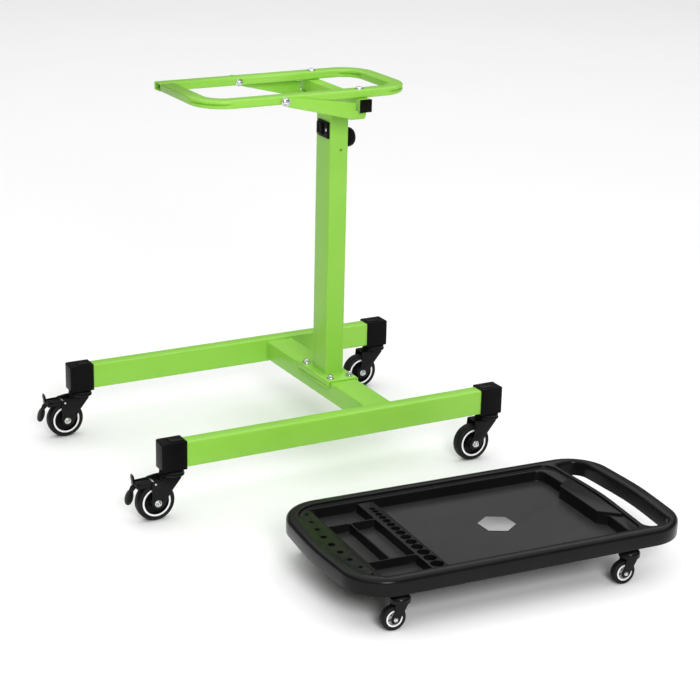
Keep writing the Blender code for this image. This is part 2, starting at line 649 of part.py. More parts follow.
def make_ring(head):
    """The tray carrier: a bent flat tube on pivots, with a cross tube bolted under it."""
    pivot = empty("ring_pivot", (PIVOT_X, 0.0, PIVOT_Z), head)
    low = RING_BOTTOM - PIVOT_Z
    high = low + RING_HIGH
    place = (-PIVOT_X, 0.0, 0.0)
    ring = add_object("ring_frame", slab_mesh("ring_frame", ring_band(0.0, 0.0), low, high),
                      GREEN_LOOK, pivot, place)
    hollow = slab_mesh("ring_hollow", ring_band(RING_WALL, GAP / 2), low + RING_WALL,
                       high - RING_WALL)
    cut(ring, "ring_hollow", hollow)
    hole = rod_mesh("ring_pivot_hole", PIVOT_RADIUS + RUN, -RING_WIDTH, RING_WIDTH,
                    (PIVOT_X, 0.0), "Y", 16)
    cut(ring, "ring_pivot_hole", hole)
    outer = ARM_Y + ARM_THICK + CROSS_PROUD
    tube = hollow_tube("cross_tube", (CROSS_TUBE, CROSS_TUBE), 2 * outer, TUBE_WALL, GREEN_LOOK,
                       pivot, (CROSS_X - PIVOT_X, 0.0, low - GAP - CROSS_TUBE / 2), "Y")
    half = CROSS_TUBE / 2
    for name, side in (("near", -1), ("far", 1)):
        y0, y1 = sorted((side * (outer + GAP), side * (outer + GAP + CROSS_CAP)))
        cap = add_object("cross_tube_cap_" + name,
                         box_mesh("cap", (-half, y0, -half), (half, y1, half)), BLACK_LOOK, pivot,
                         tube.location)
        plug = half - TUBE_WALL - TUBE_CORNER / 2
        y0, y1 = sorted((side * (outer + GAP + CROSS_CAP / 2), side * (outer - 0.010)))
        join(cap, "cap_plug", box_mesh("cap_plug", (-plug, y0, -plug), (plug, y1, plug)))
        edge = cap.modifiers.new("round", "BEVEL")
        edge.width = 0.0010
        edge.segments = 1
        edge.limit_method = "ANGLE"
    return ring


# ---- casters -----------------------------------------------------------------------------
def fork_outline(size, braked):
    """A fork's side: seat plate at the top, arms leaning back to the axle."""
    top = size["fork_top"]
    trail = size["trail"]
    end = size["arm_end"]
    axle = size["radius"]
    knee = (-trail + size["knee"][0], axle + size["knee"][1])
    if braked:
        back = [(-PEDAL_PLATE, top, 0.002), (-trail - end, top - 0.004, 0.004)]
    else:
        back = [(-trail, top, 0.002), (-trail - end * 0.3, axle + end * 1.5, 0.006),
                (-trail - end, axle + end * 0.4, 0.002)]
    return rounded(back + [(-trail - end, axle - end, end * 0.95),
                           (-trail + end, axle - end, end * 0.95), (*knee, 0.006),
                           (size["front"], top, 0.003)], 3)


def make_wheel(name, size, swivel):
    """Hub and tyre, turned about the axle, with the axle bolt through the fork."""
    axle = (-size["trail"], 0.0, size["radius"])
    half = size["width"] / 2
    rim = size["hub"]
    outer = size["radius"]
    bore = size["bolt"] + RUN
    side = half + size["side_room"] - GAP
    web = half * 0.45
    hub = [(rim, half * 0.8), (rim, -half * 0.8), (rim * 0.78, -half * 0.8), (rim * 0.40, -web),
           (rim * 0.34, -side), (bore, -side), (bore, side), (rim * 0.34, side),
           (rim * 0.40, web), (rim * 0.78, half * 0.8)]
    turned(name + "_hub", hub, HUB_LOOK, swivel, axle, "Y", TURN_STEPS, True)
    seat = rim + GAP
    chamfer = outer - half * 0.24
    shoulder = outer - half * 0.56
    tyre = [(outer, half * 0.45), (outer, -half * 0.45), (chamfer, -half * 0.85),
            (shoulder, -half), (seat, -half), (seat, half), (shoulder, half),
            (chamfer, half * 0.85)]
    turned(name + "_tyre", tyre, TYRE_LOOK, swivel, axle, "Y", TURN_STEPS, True)
    reach = half + size["side_room"] + size["arm"] + GAP
    bolt(name + "_axle", swivel, (axle[0], -reach, axle[2]), 2 * reach, size["bolt"],
         size["bolt"] * 1.85, "Y")


def make_fork(name, size, swivel, braked):
    inner = size["width"] / 2 + size["side_room"]
    outer = inner + size["arm"]
    top = size["fork_top"]
    side = slab_mesh(name + "_fork", fork_outline(size, braked), -outer, outer, True)
    fork = add_object(name + "_fork", side, STEEL_LOOK, swivel)
    cut(fork, "wheel_slot", box_mesh("wheel_slot", (-0.2, -inner, -0.1), (0.2, inner, top - size["arm"])))
    if braked:
        cut(fork, "pedal_slot", box_mesh("pedal_slot", (-0.2, -inner, -0.1), (-PEDAL_PLATE, inner, 0.2)))
        pin = rod_mesh("pedal_pin_hole", PEDAL_PIN + RUN, -outer - PAST, outer + PAST,
                       pedal_pivot(), "Y", 12)
        cut(fork, "pedal_pin_hole", pin)
    hole = rod_mesh("axle_hole", size["bolt"] + RUN, -outer - PAST, outer + PAST,
                    (-size["trail"], size["radius"]), "Y")
    cut(fork, "axle_hole", hole)
    race = rod_mesh("race", size["race"], top - size["arm"] / 2, size["height"] - SEAT_GAP, steps=14)
    join(fork, "race", race)
    stem = rod_mesh("stem", size["stem"], top, size["height"] + STEM_RISE, steps=12)
    join(fork, "stem", stem)
    return fork


def pedal_pivot():
    return (-STAND_CASTER["trail"] - PEDAL_BACK, 2 * STAND_CASTER["radius"] + PEDAL_OVER)


def make_pedal(name, swivel):
    """The total-lock brake: a channel over the wheel, hinged in the fork, with a toe pad."""
    px, pz = pedal_pivot()
    inner = STAND_CASTER["width"] / 2 + STAND_CASTER["side_room"]
    half = inner - GAP
    end = -PEDAL_REACH
    front = -px - PEDAL_FRONT
    channel = rounded([(front, 0.0052, 0.001), (end, 0.0032, 0.002), (end, -0.0062, 0.002),
                       (-0.0060, -0.0050, 0.004), (front, -0.0040, 0.002)], 2)
    pedal = add_object(name, slab_mesh(name, channel, -half, half, True), STEEL_LOOK, swivel,
                       (px, 0.0, pz))
    side = half - PEDAL_SHEET
    web = PEDAL_SHEET / 2
    cut(pedal, "pedal_under", box_mesh("pedal_under", (end + 0.002, -side, -0.02), (0.03, side, -web)))
    cut(pedal, "pedal_trough", box_mesh("pedal_trough", (end + 0.002, -side, web), (0.03, side, 0.02)))
    tab = rounded([(end, -0.0040, 0.0), (end + 0.003, -0.0040, 0.0), (end + 0.002, 0.0120, 0.0),
                   (end - 0.001, 0.0195, 0.0), (end - 0.0025, 0.0120, 0.0)], 2)
    join(pedal, "pedal_tab", slab_mesh("pedal_tab", tab, -0.007, 0.007, True))
    toe = rounded([(end + 0.001, -0.0040, 0.0), (end + 0.001, -0.0060, 0.0),
                   (end - 0.0060, -0.0090, 0.002), (end - 0.0115, -0.0380, 0.002),
                   (end - 0.0145, -0.0375, 0.002), (end - 0.0100, -0.0050, 0.003)], 2)
    join(pedal, "pedal_toe", slab_mesh("pedal_toe", toe, -0.0125, 0.0125, True))
    for side in (-1, 1):
        y0, y1 = sorted((side * (half - PEDAL_SHEET / 2),
                         side * (inner + STAND_CASTER["arm"] + 0.001)))
        join(pedal, "pedal_pin", rod_mesh("pedal_pin", PEDAL_PIN, y0, y1, (0.0, 0.0), "Y"))
    return pedal


def make_caster(name, size, parent, place, braked=False):
    swivel = empty(name + "_swivel", place, parent)
    make_fork(name, size, swivel, braked)
    make_wheel(name, size, swivel)
    if braked:
        make_pedal(name + "_brake", swivel)


# ---- tray --------------------------------------------------------------------------------
def tray_outline(inset=0.0):
    """The tray and handle seen from above, bowed at both ends."""
    half = TRAY_HALF_WIDTH - inset
    left = TRAY_LEFT + inset
    right = TRAY_RIGHT - inset
    corner = TRAY_CORNER - inset
    return rounded([(left - TRAY_BOW, 0.0, 0.6), (left, -half, corner), (right, -half, corner),
                    (right + TRAY_BOW, 0.0, 0.6), (right, half, corner), (left, half, corner)])


def basin_outline(grow=0.0):
    half = BASIN_HALF_WIDTH + grow
    return rounded([(BASIN_LEFT - grow, -half, 0.012 + grow), (BASIN_RIGHT + grow, -half, 0.008 + grow),
                    (BASIN_RIGHT + TRAY_BOW + grow, 0.0, 0.5), (BASIN_RIGHT + grow, half, 0.018 + grow),
                    (BASIN_LEFT - grow, half, 0.018 + grow)], 4)


def ledge_outline():
    left = TRAY_LEFT + BEAD_WIDTH
    half = TRAY_HALF_WIDTH - BEAD_WIDTH
    right = BODY_RIGHT - BEAD_WIDTH * 0.9
    corner = TRAY_CORNER - BEAD_WIDTH
    return rounded([(left - TRAY_BOW, 0.0, 0.6), (left, -half, corner), (right, -half, 0.020),
                    (right + TRAY_BOW, 0.0, 0.5), (right, half, 0.024), (left, half, corner)])


def opening_outline(grow=0.0):
    """The finger room between the tray's body and its handle."""
    left = BODY_RIGHT - grow
    right = BODY_RIGHT + OPENING_WIDTH + grow
    half = TRAY_HALF_WIDTH - HANDLE_SIDE + grow
    bow = TRAY_BOW * 0.4
    tight = OPENING_WIDTH * 0.25 + grow
    wide = OPENING_WIDTH * 0.50 + grow
    return rounded([(left + bow, 0.0, 0.5), (left - bow, -half, tight),
                    (right - TRAY_BOW, -half, wide), (right, 0.0, 0.6),
                    (right - TRAY_BOW, half, wide), (left - bow, half, tight)], 5)


def pocket(name, x0, y0, x1, y1, radius=0.003):
    outline = rounded([(x0, y0, radius), (x1, y0, radius), (x1, y1, radius), (x0, y1, radius)], 2)
    return slab_mesh(name, outline, TRAY_TOP - BASIN_DROP, TRAY_TOP + PAST)


def cut_pockets(tray):
    """Four small compartments left of the socket rail, and the wide basin right of it."""
    half = BASIN_HALF_WIDTH
    wall = DIVIDER_THICK / 2
    left = BASIN_LEFT
    right = SOCKET_RAIL_LEFT
    cut(tray, "pocket_far", pocket("pocket_far", left, DIVIDER_FAR_Y + wall, right, half))
    cut(tray, "pocket_left", pocket("pocket_left", left, DIVIDER_NEAR_Y + wall, DIVIDER_X - wall,
                                    DIVIDER_FAR_Y - wall))
    cut(tray, "pocket_right", pocket("pocket_right", DIVIDER_X + wall, DIVIDER_NEAR_Y + wall, right,
                                     DIVIDER_FAR_Y - wall))
    cut(tray, "pocket_near", pocket("pocket_near", left, -half, right, DIVIDER_NEAR_Y - wall))


def basin_mesh():
    """The basin's air: right of the rail and around the sloped block at the handle end."""
    half = BASIN_HALF_WIDTH
    wall = BASIN_RIGHT
    outline = rounded([(SOCKET_RAIL_RIGHT, -half, 0.003), (wall, -half, 0.008),
                       (wall + BLOCK_SWEEP, -BLOCK_HALF - BLOCK_FLARE, 0.0),
                       (BLOCK_LEFT, -BLOCK_HALF, 0.004), (BLOCK_LEFT, BLOCK_HALF, 0.004),
                       (wall + BLOCK_SWEEP, BLOCK_HALF + BLOCK_FLARE, 0.0),
                       (wall, half, 0.018), (SOCKET_RAIL_RIGHT, half, 0.003)], 4)
    return slab_mesh("basin", outline, TRAY_TOP - BASIN_DROP, TRAY_TOP + PAST)


def cut_ledge(tray):
    """The step inside the rim, which leaves the block standing above it."""
    drop = TRAY_TOP - LEDGE_DROP
    cut(tray, "ledge", slab_mesh("ledge", ledge_outline(), drop, TRAY_TOP + PAST))
    inner = rounded([(BASIN_LEFT + 0.0001, -BASIN_HALF_WIDTH + 0.0001, 0.003),
                     (SOCKET_RAIL_RIGHT + 0.02, -BASIN_HALF_WIDTH + 0.0001, 0.0),
                     (SOCKET_RAIL_RIGHT + 0.02, BASIN_HALF_WIDTH - 0.0001, 0.0),
                     (BASIN_LEFT + 0.0001, BASIN_HALF_WIDTH - 0.0001, 0.003)], 2)
    cut(tray, "rail_level", slab_mesh("rail_level", inner, TRAY_TOP - DIVIDER_DROP, TRAY_TOP + PAST))
    edge = BODY_RIGHT - BEAD_WIDTH * 0.9 + 0.003
    block = rounded([(BLOCK_LEFT, -BLOCK_HALF, 0.004), (edge, -BLOCK_HALF - BLOCK_FLARE * 2, 0.0),
                     (edge, BLOCK_HALF + BLOCK_FLARE * 2, 0.0), (BLOCK_LEFT, BLOCK_HALF, 0.004)], 4)
    join(tray, "block_top", slab_mesh("block_top", block, TRAY_TOP - BASIN_DROP - 0.001,
                                      TRAY_TOP - BLOCK_DROP))


def driver_holes():
    """(x, y, radius) of the screwdriver holes along the left ledge, the middle one largest."""
    reach = TRAY_HALF_WIDTH - DRIVER_MARGIN
    holes = []
    for i in range(DRIVER_HOLES):
        y = reach * (1 - 2 * i / (DRIVER_HOLES - 1))
        share = abs(y) / reach
        x = (TRAY_LEFT + BASIN_LEFT) / 2 + TRAY_BOW * share ** 2
        holes.append((x, y, (DRIVER_LARGE + (DRIVER_SMALL - DRIVER_LARGE) * share) / 2))
    return holes


def cut_holes(tray):
    """Screwdriver holes along the left ledge and graded socket holes along the rail."""
    for x, y, radius in driver_holes():
        hole = rod_mesh("driver_hole", radius, TRAY_BOTTOM - PAST, TRAY_TOP + PAST, (x, y), steps=12)
        cut(tray, "driver_hole", hole)
    x = (SOCKET_RAIL_LEFT + SOCKET_RAIL_RIGHT) / 2
    top = TRAY_TOP - DIVIDER_DROP
    y = BASIN_HALF_WIDTH - SOCKET_START
    size = SOCKET_SMALL
    while y - size > -BASIN_HALF_WIDTH + SOCKET_END:
        hole = rod_mesh("socket_hole", size / 2, top - SOCKET_DEPTH, top + PAST,
                        (x, y - size / 2), steps=12)
        cut(tray, "socket_hole", hole)
        y -= size + SOCKET_WEB
        size += SOCKET_STEP


def underside_mesh():
    """The hollow under the rim and handle: one groove between the skirt and the basin's wall."""
    return slab_mesh("rim_hollow", tray_outline(TRAY_WALL), TRAY_BOTTOM - PAST,
                     TRAY_TOP - LEDGE_DROP - TRAY_WALL)


def make_tray():
    """A one-piece moulded tray with a carrying handle at its right end."""
    place = empty("tray_place", (TRAY_X, TRAY_Y, 0.0), ASSEMBLY, TRAY_YAW)
    outside = slab_mesh("tray_shell", tray_outline(), TRAY_BOTTOM, TRAY_TOP)
    round_edges(outside, TRAY_TOP, BEAD_ROUND, 3)
    tray = add_object("tray_shell", outside, TRAY_LOOK, place)
    keep = add_object("groove", underside_mesh(), None, place, cutter=True)
    basin_wall = add_object("basin_wall", slab_mesh("basin_wall", basin_outline(TRAY_WALL),
                                                    TRAY_BOTTOM - 2 * PAST, TRAY_TOP), None, place,
                            cutter=True)
    boolean(keep, basin_wall)
    lining = add_object("opening_lining", slab_mesh("opening_lining", opening_outline(TRAY_WALL),
                                                    TRAY_BOTTOM - 2 * PAST, TRAY_TOP), None, place,
                        cutter=True)
    boolean(keep, lining)
    bosses = [(x, y, BOSS_RADIUS) for x in (CASTER_LEFT, CASTER_RIGHT) for y in (-CASTER_Y, CASTER_Y)]
    bosses += [(x, y, radius + SLEEVE_WALL) for x, y, radius in driver_holes()]
    for x, y, radius in bosses:
        column = rod_mesh("boss", radius, TRAY_BOTTOM - 2 * PAST, TRAY_TOP, (x, y), steps=12)
        boolean(keep, add_object("boss", column, None, place, cutter=True))
    boolean(tray, keep)
    cut(tray, "handle_opening", slab_mesh("handle_opening", opening_outline(), TRAY_BOTTOM - PAST,
                                          TRAY_TOP + PAST))
    cut(tray, "basin", basin_mesh())
    cut_pockets(tray)
    cut_ledge(tray)
    cut_holes(tray)
    for x in (CASTER_LEFT, CASTER_RIGHT):
        for y in (-CASTER_Y, CASTER_Y):
            socket = rod_mesh("stem_socket", TRAY_CASTER["stem"] + RUN, TRAY_BOTTOM - PAST,
                              TRAY_BOTTOM + STEM_RISE + 0.001, (x, y), steps=16)
            cut(tray, "stem_socket", socket)
    make_badge(place)
    for end, x in (("left", CASTER_LEFT), ("right", CASTER_RIGHT)):
        for side, y in (("near", -CASTER_Y), ("far", CASTER_Y)):
            make_caster("tray_caster_%s_%s" % (end, side), TRAY_CASTER, place, (x, y, 0.0))
    return tray


def make_badge(place):
    """The blank hexagonal plate on the basin's floor."""
    floor = TRAY_TOP - BASIN_DROP + GAP
    work = bmesh.new()
    bmesh.ops.create_cone(work, cap_ends=True, segments=6, radius1=BADGE_RADIUS,
                          radius2=BADGE_RADIUS, depth=BADGE_THICK)
    bmesh.ops.translate(work, vec=(0.0, 0.0, BADGE_THICK / 2), verts=work.verts)
    mesh = bpy.data.meshes.new("tray_badge")
    work.to_mesh(mesh)
    work.free()
    badge = add_object("tray_badge", mesh, BADGE_LOOK, place, (*BADGE_PLACE, floor))
    badge.rotation_euler = (0.0, 0.0, BADGE_TURN)
    return badge


def centre_on_floor():
    """Puts the origin at the middle of the whole footprint, on the floor."""
    bpy.context.view_layer.update()
    depsgraph = bpy.context.evaluated_depsgraph_get()
    corners = []
    for obj in PARTS.objects:
        if obj.type == "MESH":
            shown = obj.evaluated_get(depsgraph)
            corners += [shown.matrix_world @ vertex.co for vertex in shown.data.vertices]
    for axis in (0, 1):
        values = [corner[axis] for corner in corners]
        ASSEMBLY.location[axis] = -(min(values) + max(values)) / 2


def make_stand():
    stand = empty("stand", (0.0, 0.0, 0.0), ASSEMBLY)
    make_base(stand)
    make_saddle(stand)
    make_column(stand)
    make_bush(stand)
    make_cover(stand)
    make_knob(stand)
    head = empty("mast_head", (0.0, 0.0, 0.0), stand)
    make_mast(head)
    make_support(head)
    make_ring(head)
    for end, x in (("left", -STEM_X), ("right", STEM_X)):
        for side, y in (("near", -LEG_SPACING / 2), ("far", LEG_SPACING / 2)):
            make_caster("stand_caster_%s_%s" % (end, side), STAND_CASTER, stand, (x, y, 0.0),
                        braked=end == "left")


STEM_X = LEG_LENGTH / 2 + GAP + CAP_WALL - CAP_LENGTH / 2
SEAT_GAP = CAP_WALL + 2 * GAP

clear_scene()
PARTS = make_collection("rolling_work_stand")
CUTTERS = make_collection("cutters")
GREEN_LOOK = material("green_powder_coat", GREEN)
BLACK_LOOK = material("black_plastic", BLACK_PLASTIC)
TRAY_LOOK = material("tray_plastic", TRAY_PLASTIC)
STEEL_LOOK = material("black_steel", BLACK_STEEL)
ZINC_LOOK = material("zinc_plate", ZINC)
TYRE_LOOK = material("tyre_rubber", TYRE)
HUB_LOOK = material("wheel_hub", HUB)
BADGE_LOOK = material("grey_plate", BADGE_GREY)
BUSH_LOOK = material("black_nylon", BUSH_NYLON)
ASSEMBLY = empty("assembly", (0.0, 0.0, 0.0))
make_stand()
make_tray()
centre_on_floor()
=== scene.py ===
"""Looks for the rolling work stand and its detachable tool tray.

Metres, +Z up, floor at z = 0. Pieces are drawn in the stand's, the tray's or a caster's own frame, then set
in their place in the mesh. Each rides on one body and stands for the plain parts it covers.
"""
import json
import math

import bmesh
import bpy
from mathutils import Matrix, Vector


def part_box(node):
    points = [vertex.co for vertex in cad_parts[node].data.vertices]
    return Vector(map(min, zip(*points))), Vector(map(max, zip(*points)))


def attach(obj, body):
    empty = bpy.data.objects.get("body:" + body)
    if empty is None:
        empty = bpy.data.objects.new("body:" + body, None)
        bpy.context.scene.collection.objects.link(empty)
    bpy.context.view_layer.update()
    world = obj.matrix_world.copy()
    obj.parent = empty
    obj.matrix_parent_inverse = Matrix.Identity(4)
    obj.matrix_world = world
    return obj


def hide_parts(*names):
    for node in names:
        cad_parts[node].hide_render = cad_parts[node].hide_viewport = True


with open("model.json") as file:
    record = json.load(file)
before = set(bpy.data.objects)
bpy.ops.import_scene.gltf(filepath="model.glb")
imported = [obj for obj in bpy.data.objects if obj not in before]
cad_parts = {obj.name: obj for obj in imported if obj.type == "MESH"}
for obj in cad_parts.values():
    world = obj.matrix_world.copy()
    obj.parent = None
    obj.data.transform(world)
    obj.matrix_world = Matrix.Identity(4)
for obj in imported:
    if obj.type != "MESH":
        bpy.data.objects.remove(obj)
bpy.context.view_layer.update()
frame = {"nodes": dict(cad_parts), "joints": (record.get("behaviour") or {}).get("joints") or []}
JOINTS = {joint["name"]: joint for joint in frame["joints"]}


def centre(node, axis):
    low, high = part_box(node)
    return (low[axis] + high[axis]) / 2


# ---- places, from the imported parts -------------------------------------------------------
STAND_X = centre("leg_near", 0)
STAND_Y = centre("column_tube", 1)
STAND = Matrix.Translation((STAND_X, STAND_Y, 0.0))
LEG_Y = (centre("leg_far", 1) - centre("leg_near", 1)) / 2
LEG_LOW, LEG_HIGH = (corner.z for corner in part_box("leg_near"))
BAR_X = centre("cross_bar", 0) - STAND_X
COLUMN = STAND @ Matrix.Translation((BAR_X, 0.0, 0.0))
BAR_LOW, BAR_HIGH = (corner.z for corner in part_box("cross_bar"))
SADDLE_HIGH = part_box("column_saddle")[1].z
COLUMN_LOW, COLUMN_HIGH = (corner.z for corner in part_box("column_tube"))
WEB_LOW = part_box("ring_support")[0].z
RING_LOW, RING_HIGH = (corner.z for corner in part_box("ring_frame"))
CROSS_X = centre("cross_tube", 0) - STAND_X
CROSS_Z = centre("cross_tube", 2)
PIVOT = Vector(JOINTS["ring_tilt"]["pos_m"]) - Vector((STAND_X, STAND_Y, 0.0))
KNOB = Vector((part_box("column_tube")[1].x + 0.0003, STAND_Y, JOINTS["knob_turn"]["pos_m"][2]))
TRAY_BOTTOM, TRAY_TOP = (corner.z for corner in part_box("tray_shell"))
ALONG = Vector(JOINTS["tray_roll"]["axis"])
TRAY_TURN = Matrix.Rotation(math.atan2(ALONG.y, ALONG.x), 4, "Z")
STEMS_MIDDLE = 0.032    # middle of the tray's four stems, from the tray's own origin
TRAY_STEMS = [Vector(JOINTS["tray_%s_swivel" % corner]["pos_m"])
              for corner in ("left_near", "left_far", "right_near", "right_far")]
TRAY = Matrix.Translation(sum(TRAY_STEMS, Vector()) / 4 - ALONG * STEMS_MIDDLE) @ TRAY_TURN

# ---- stand sizes -------------------------------------------------------------------------
LEG_WIDE = 0.030
BAR_WIDE = 0.060
COLUMN_DEEP = 0.040
COLUMN_WIDE = 0.060
TUBE_WALL = 0.0016
TUBE_CORNER = 0.0034
WELD = 0.0021
COLUMN_WELD = 0.0017
RING_WELD = 0.0013
WELD_STOP = 0.003       # a weld stops this far short of a corner
BAR_WELD_STOP = 0.004
FIT = 0.0003            # air between parts that slide together
SADDLE_LONG = 0.136
SADDLE_THICK = 0.0035
SADDLE_LIP = 0.016
RING_LONG = 0.446
RING_WIDE = 0.228
RING_TUBE = 0.030
RING_BEND = 0.066
RING_WALL = 0.0015
ARM_THICK = 0.003
ARM_GAP = RING_WIDE / 2 + 2 * FIT
KNOB_RADIUS = 0.0195
KNOB_STEPS = 72         # a flute on every third
FLUTE_FROM = 0.0170     # flutes start this far from the knob's middle
FLUTE_PRESS = 0.945

# ---- tray sizes, in the tray's own frame -------------------------------------------------
TRAY_HALF = 0.178
TRAY_LEFT = -0.268
TRAY_RIGHT = 0.376
TRAY_BOW = 0.013
TRAY_CORNER = 0.078
BEAD = 0.021
LEDGE_DROP = 0.0060
BASIN_DROP = 0.027
BASIN_LEFT = -0.213
BASIN_HALF = 0.148
BODY_RIGHT = 0.300
BASIN_RIGHT = 0.262
OPENING = 0.062
OPENING_HALF = 0.155
OPENING_BOW = 0.0052
OPENING_RIM = 0.0115
DIVIDER_DROP = 0.010
DIVIDER_FAR = 0.076
DIVIDER_NEAR = -0.081
DIVIDER_X = -0.169
DIVIDER = 0.003
RAIL_LEFT = -0.121
RAIL_RIGHT = -0.090
BLOCK_LEFT = 0.250
BLOCK_HALF = 0.063
BLOCK_FLARE = 0.014
SHELL_WALL = 0.003
BOSS = 0.0125           # radius of the stems' bosses
DRIVERS = 9
SOCKET_FIRST = 0.0105   # the first socket hole's width
SOCKET_GAP = 0.0016
SOCKET_GROW = 0.00104   # each hole is this much wider than the one before
PLATE_RADIUS = 0.0345
OVERSHOOT = 0.01        # cutters stand this far past the faces they cut


# ---- finishes ----------------------------------------------------------------------------
class Value:
    """A node's output that adds Math nodes when it is used in a sum."""

    def __init__(self, finish, socket):
        self.finish = finish
        self.socket = socket

    def maths(self, operation, first, second):
        return self.finish.node("Math", {"operation": operation}, {0: first, 1: second})

    def __add__(self, other):
        return self.maths("ADD", self, other)

    def __sub__(self, other):
        return self.maths("SUBTRACT", self, other)

    def __rsub__(self, other):
        return self.maths("SUBTRACT", other, self)

    def __mul__(self, other):
        return self.maths("MULTIPLY", self, other)

    __radd__ = __add__
    __rmul__ = __mul__


class Finish:
    """A material in the making: its nodes, and the shader they feed."""

    def __init__(self, name, **fixed):
        self.material = bpy.data.materials.new(name)
        self.material.use_nodes = True
        self.tree = self.material.node_tree
        self.shader = self.tree.nodes["Principled BSDF"]
        for socket, number in fixed.items():
            self.shader.inputs[socket.replace("_", " ")].default_value = number
        self.place = self.node("TexCoord", output="Object")

    def node(self, kind, settings=None, inputs=None, output=0):
        made = self.tree.nodes.new("ShaderNode" + kind)
        for key, setting in (settings or {}).items():
            if key == "stops":
                for stop, (position, colour) in zip(made.color_ramp.elements, setting):
                    stop.position = position
                    stop.color = colour
            else:
                setattr(made, key, setting)
        for key, content in (inputs or {}).items():
            if isinstance(content, Value):
                self.tree.links.new(content.socket, made.inputs[key])
            else:
                made.inputs[key].default_value = content
        return Value(self, made.outputs[output])

    def noise(self, scale, detail=2.0, stretch=None):
        """Noise from 0 to 1, scale cells to the metre, stretched by a factor on each axis."""
        place = self.place
        if stretch:
            place = self.node("Mapping", None, {"Vector": place, "Scale": stretch})
        return self.node("TexNoise", None, {"Vector": place, "Scale": scale, "Detail": detail})

    def band(self, amount, low, high):
        """Spreads the part of a value between low and high over 0 to 1."""
        return self.node("MapRange", {"clamp": True}, {0: amount, 1: low, 2: high})

    def mix(self, amount, first, second):
        return self.node("Mix", {"data_type": "RGBA"}, {0: amount, 6: first, 7: second}, 2)

    def feed(self, socket, content):
        self.tree.links.new(content.socket, self.shader.inputs[socket])

    def bump(self, height, distance, strength=1.0):
        self.feed("Normal", self.node("Bump", None, {"Height": height, "Distance": distance,
                                                     "Strength": strength}))


def shade(red, green, blue):
    return (red, green, blue, 1.0)


def powder_coat():
    """Gloss yellow-green powder coat: soft orange peel, faint cloudiness, a few dust nibs."""
    coat = Finish("green_powder_coat", Specular_IOR_Level=0.28, Coat_Weight=0.08, Coat_Roughness=0.10)
    peel = coat.noise(420.0, 2.0)
    cloud = coat.noise(7.0, 3.0)
    nibs = coat.band(coat.noise(160.0, 1.0), 0.74, 0.80)
    body = coat.mix(coat.band(cloud, 0.3, 0.7), shade(0.252, 0.565, 0.058), shade(0.278, 0.602, 0.068))
    coat.feed("Base Color", coat.mix(nibs * 0.25, body, shade(0.36, 0.66, 0.12)))
    coat.feed("Roughness", peel * 0.10 + cloud * 0.06 + 0.24)
    coat.bump(peel + nibs * 0.6, 0.00006)
    return coat.material


def moulded(name, low, high, grain, depth, rough, gloss):
    """Satin moulded plastic with a spark-eroded grain and slow patches of sheen."""
    plastic = Finish(name, Specular_IOR_Level=gloss)
    fine = plastic.noise(grain, 3.0)
    patch = plastic.noise(14.0, 3.0)
    shades = shade(low, low, low * 1.02), shade(high, high, high * 1.02)
    plastic.feed("Base Color", plastic.mix(plastic.band(fine + patch * 0.5, 0.55, 0.95), *shades))
    plastic.feed("Roughness", fine * 0.12 + patch * 0.10 + (rough - 0.11))
    plastic.bump(fine, depth)
    return plastic.material


def black_steel():
    """Pressed steel under a thin black dip coat, glossier where it is rubbed."""
    steel = Finish("black_steel", Specular_IOR_Level=0.12, Coat_Weight=0.10, Coat_Roughness=0.08)
    draw = steel.noise(260.0, 3.0)
    rubbed = steel.band(steel.noise(45.0, 2.0), 0.55, 0.75)
    steel.feed("Base Color", steel.mix(rubbed, shade(0.003, 0.003, 0.003), shade(0.006, 0.006, 0.006)))
    steel.feed("Roughness", draw * 0.16 - rubbed * 0.06 + 0.24)
    steel.bump(draw, 0.00005)
    return steel.material


def zinc_plate():
    """Bright zinc with a faint blue and straw passivate and fine tool marks."""
    zinc = Finish("zinc_plate", Metallic=1.0)
    tint = zinc.noise(120.0, 2.0)
    marks = zinc.noise(900.0, 2.0, (1.0, 1.0, 4.0))
    zinc.feed("Base Color", zinc.mix(zinc.band(tint, 0.35, 0.65), shade(0.58, 0.62, 0.68),
                                     shade(0.72, 0.71, 0.66)))
    zinc.feed("Roughness", marks * 0.18 + tint * 0.08 + 0.12)
    zinc.bump(marks, 0.00003)
    return zinc.material


def tyre_rubber():
    rubber = Finish("tyre_rubber", Specular_IOR_Level=0.16)
    fine = rubber.noise(1300.0, 3.0)
    scuff = rubber.band(rubber.noise(60.0, 4.0), 0.5, 0.8)
    rubber.feed("Base Color", rubber.mix(scuff, shade(0.006, 0.006, 0.006), shade(0.013, 0.013, 0.0125)))
    rubber.feed("Roughness", fine * 0.15 + scuff * 0.08 + 0.46)
    rubber.bump(fine, 0.00005)
    return rubber.material


def ring_white():
    white = Finish("ring_white", Coat_Weight=0.2)
    fine = white.noise(500.0, 2.0)
    white.feed("Base Color", white.mix(fine, shade(0.78, 0.78, 0.79), shade(0.88, 0.88, 0.88)))
    white.feed("Roughness", fine * 0.12 + 0.26)
    return white.material


def brushed_plate():
    """Light grey plate, brushed along one way, fading from one corner to the other."""
    plate = Finish("grey_plate", Metallic=0.35)
    brushed = plate.noise(900.0, 2.0, (0.05, 1.0, 1.0))
    fade = plate.noise(9.0, 1.0)
    plate.feed("Base Color", plate.mix(plate.band(brushed * 0.25 + fade, 0.35, 0.85),
                                       shade(0.17, 0.17, 0.175), shade(0.36, 0.36, 0.365)))
    plate.feed("Roughness", brushed * 0.14 + 0.36)
    plate.bump(brushed, 0.00003)
    return plate.material


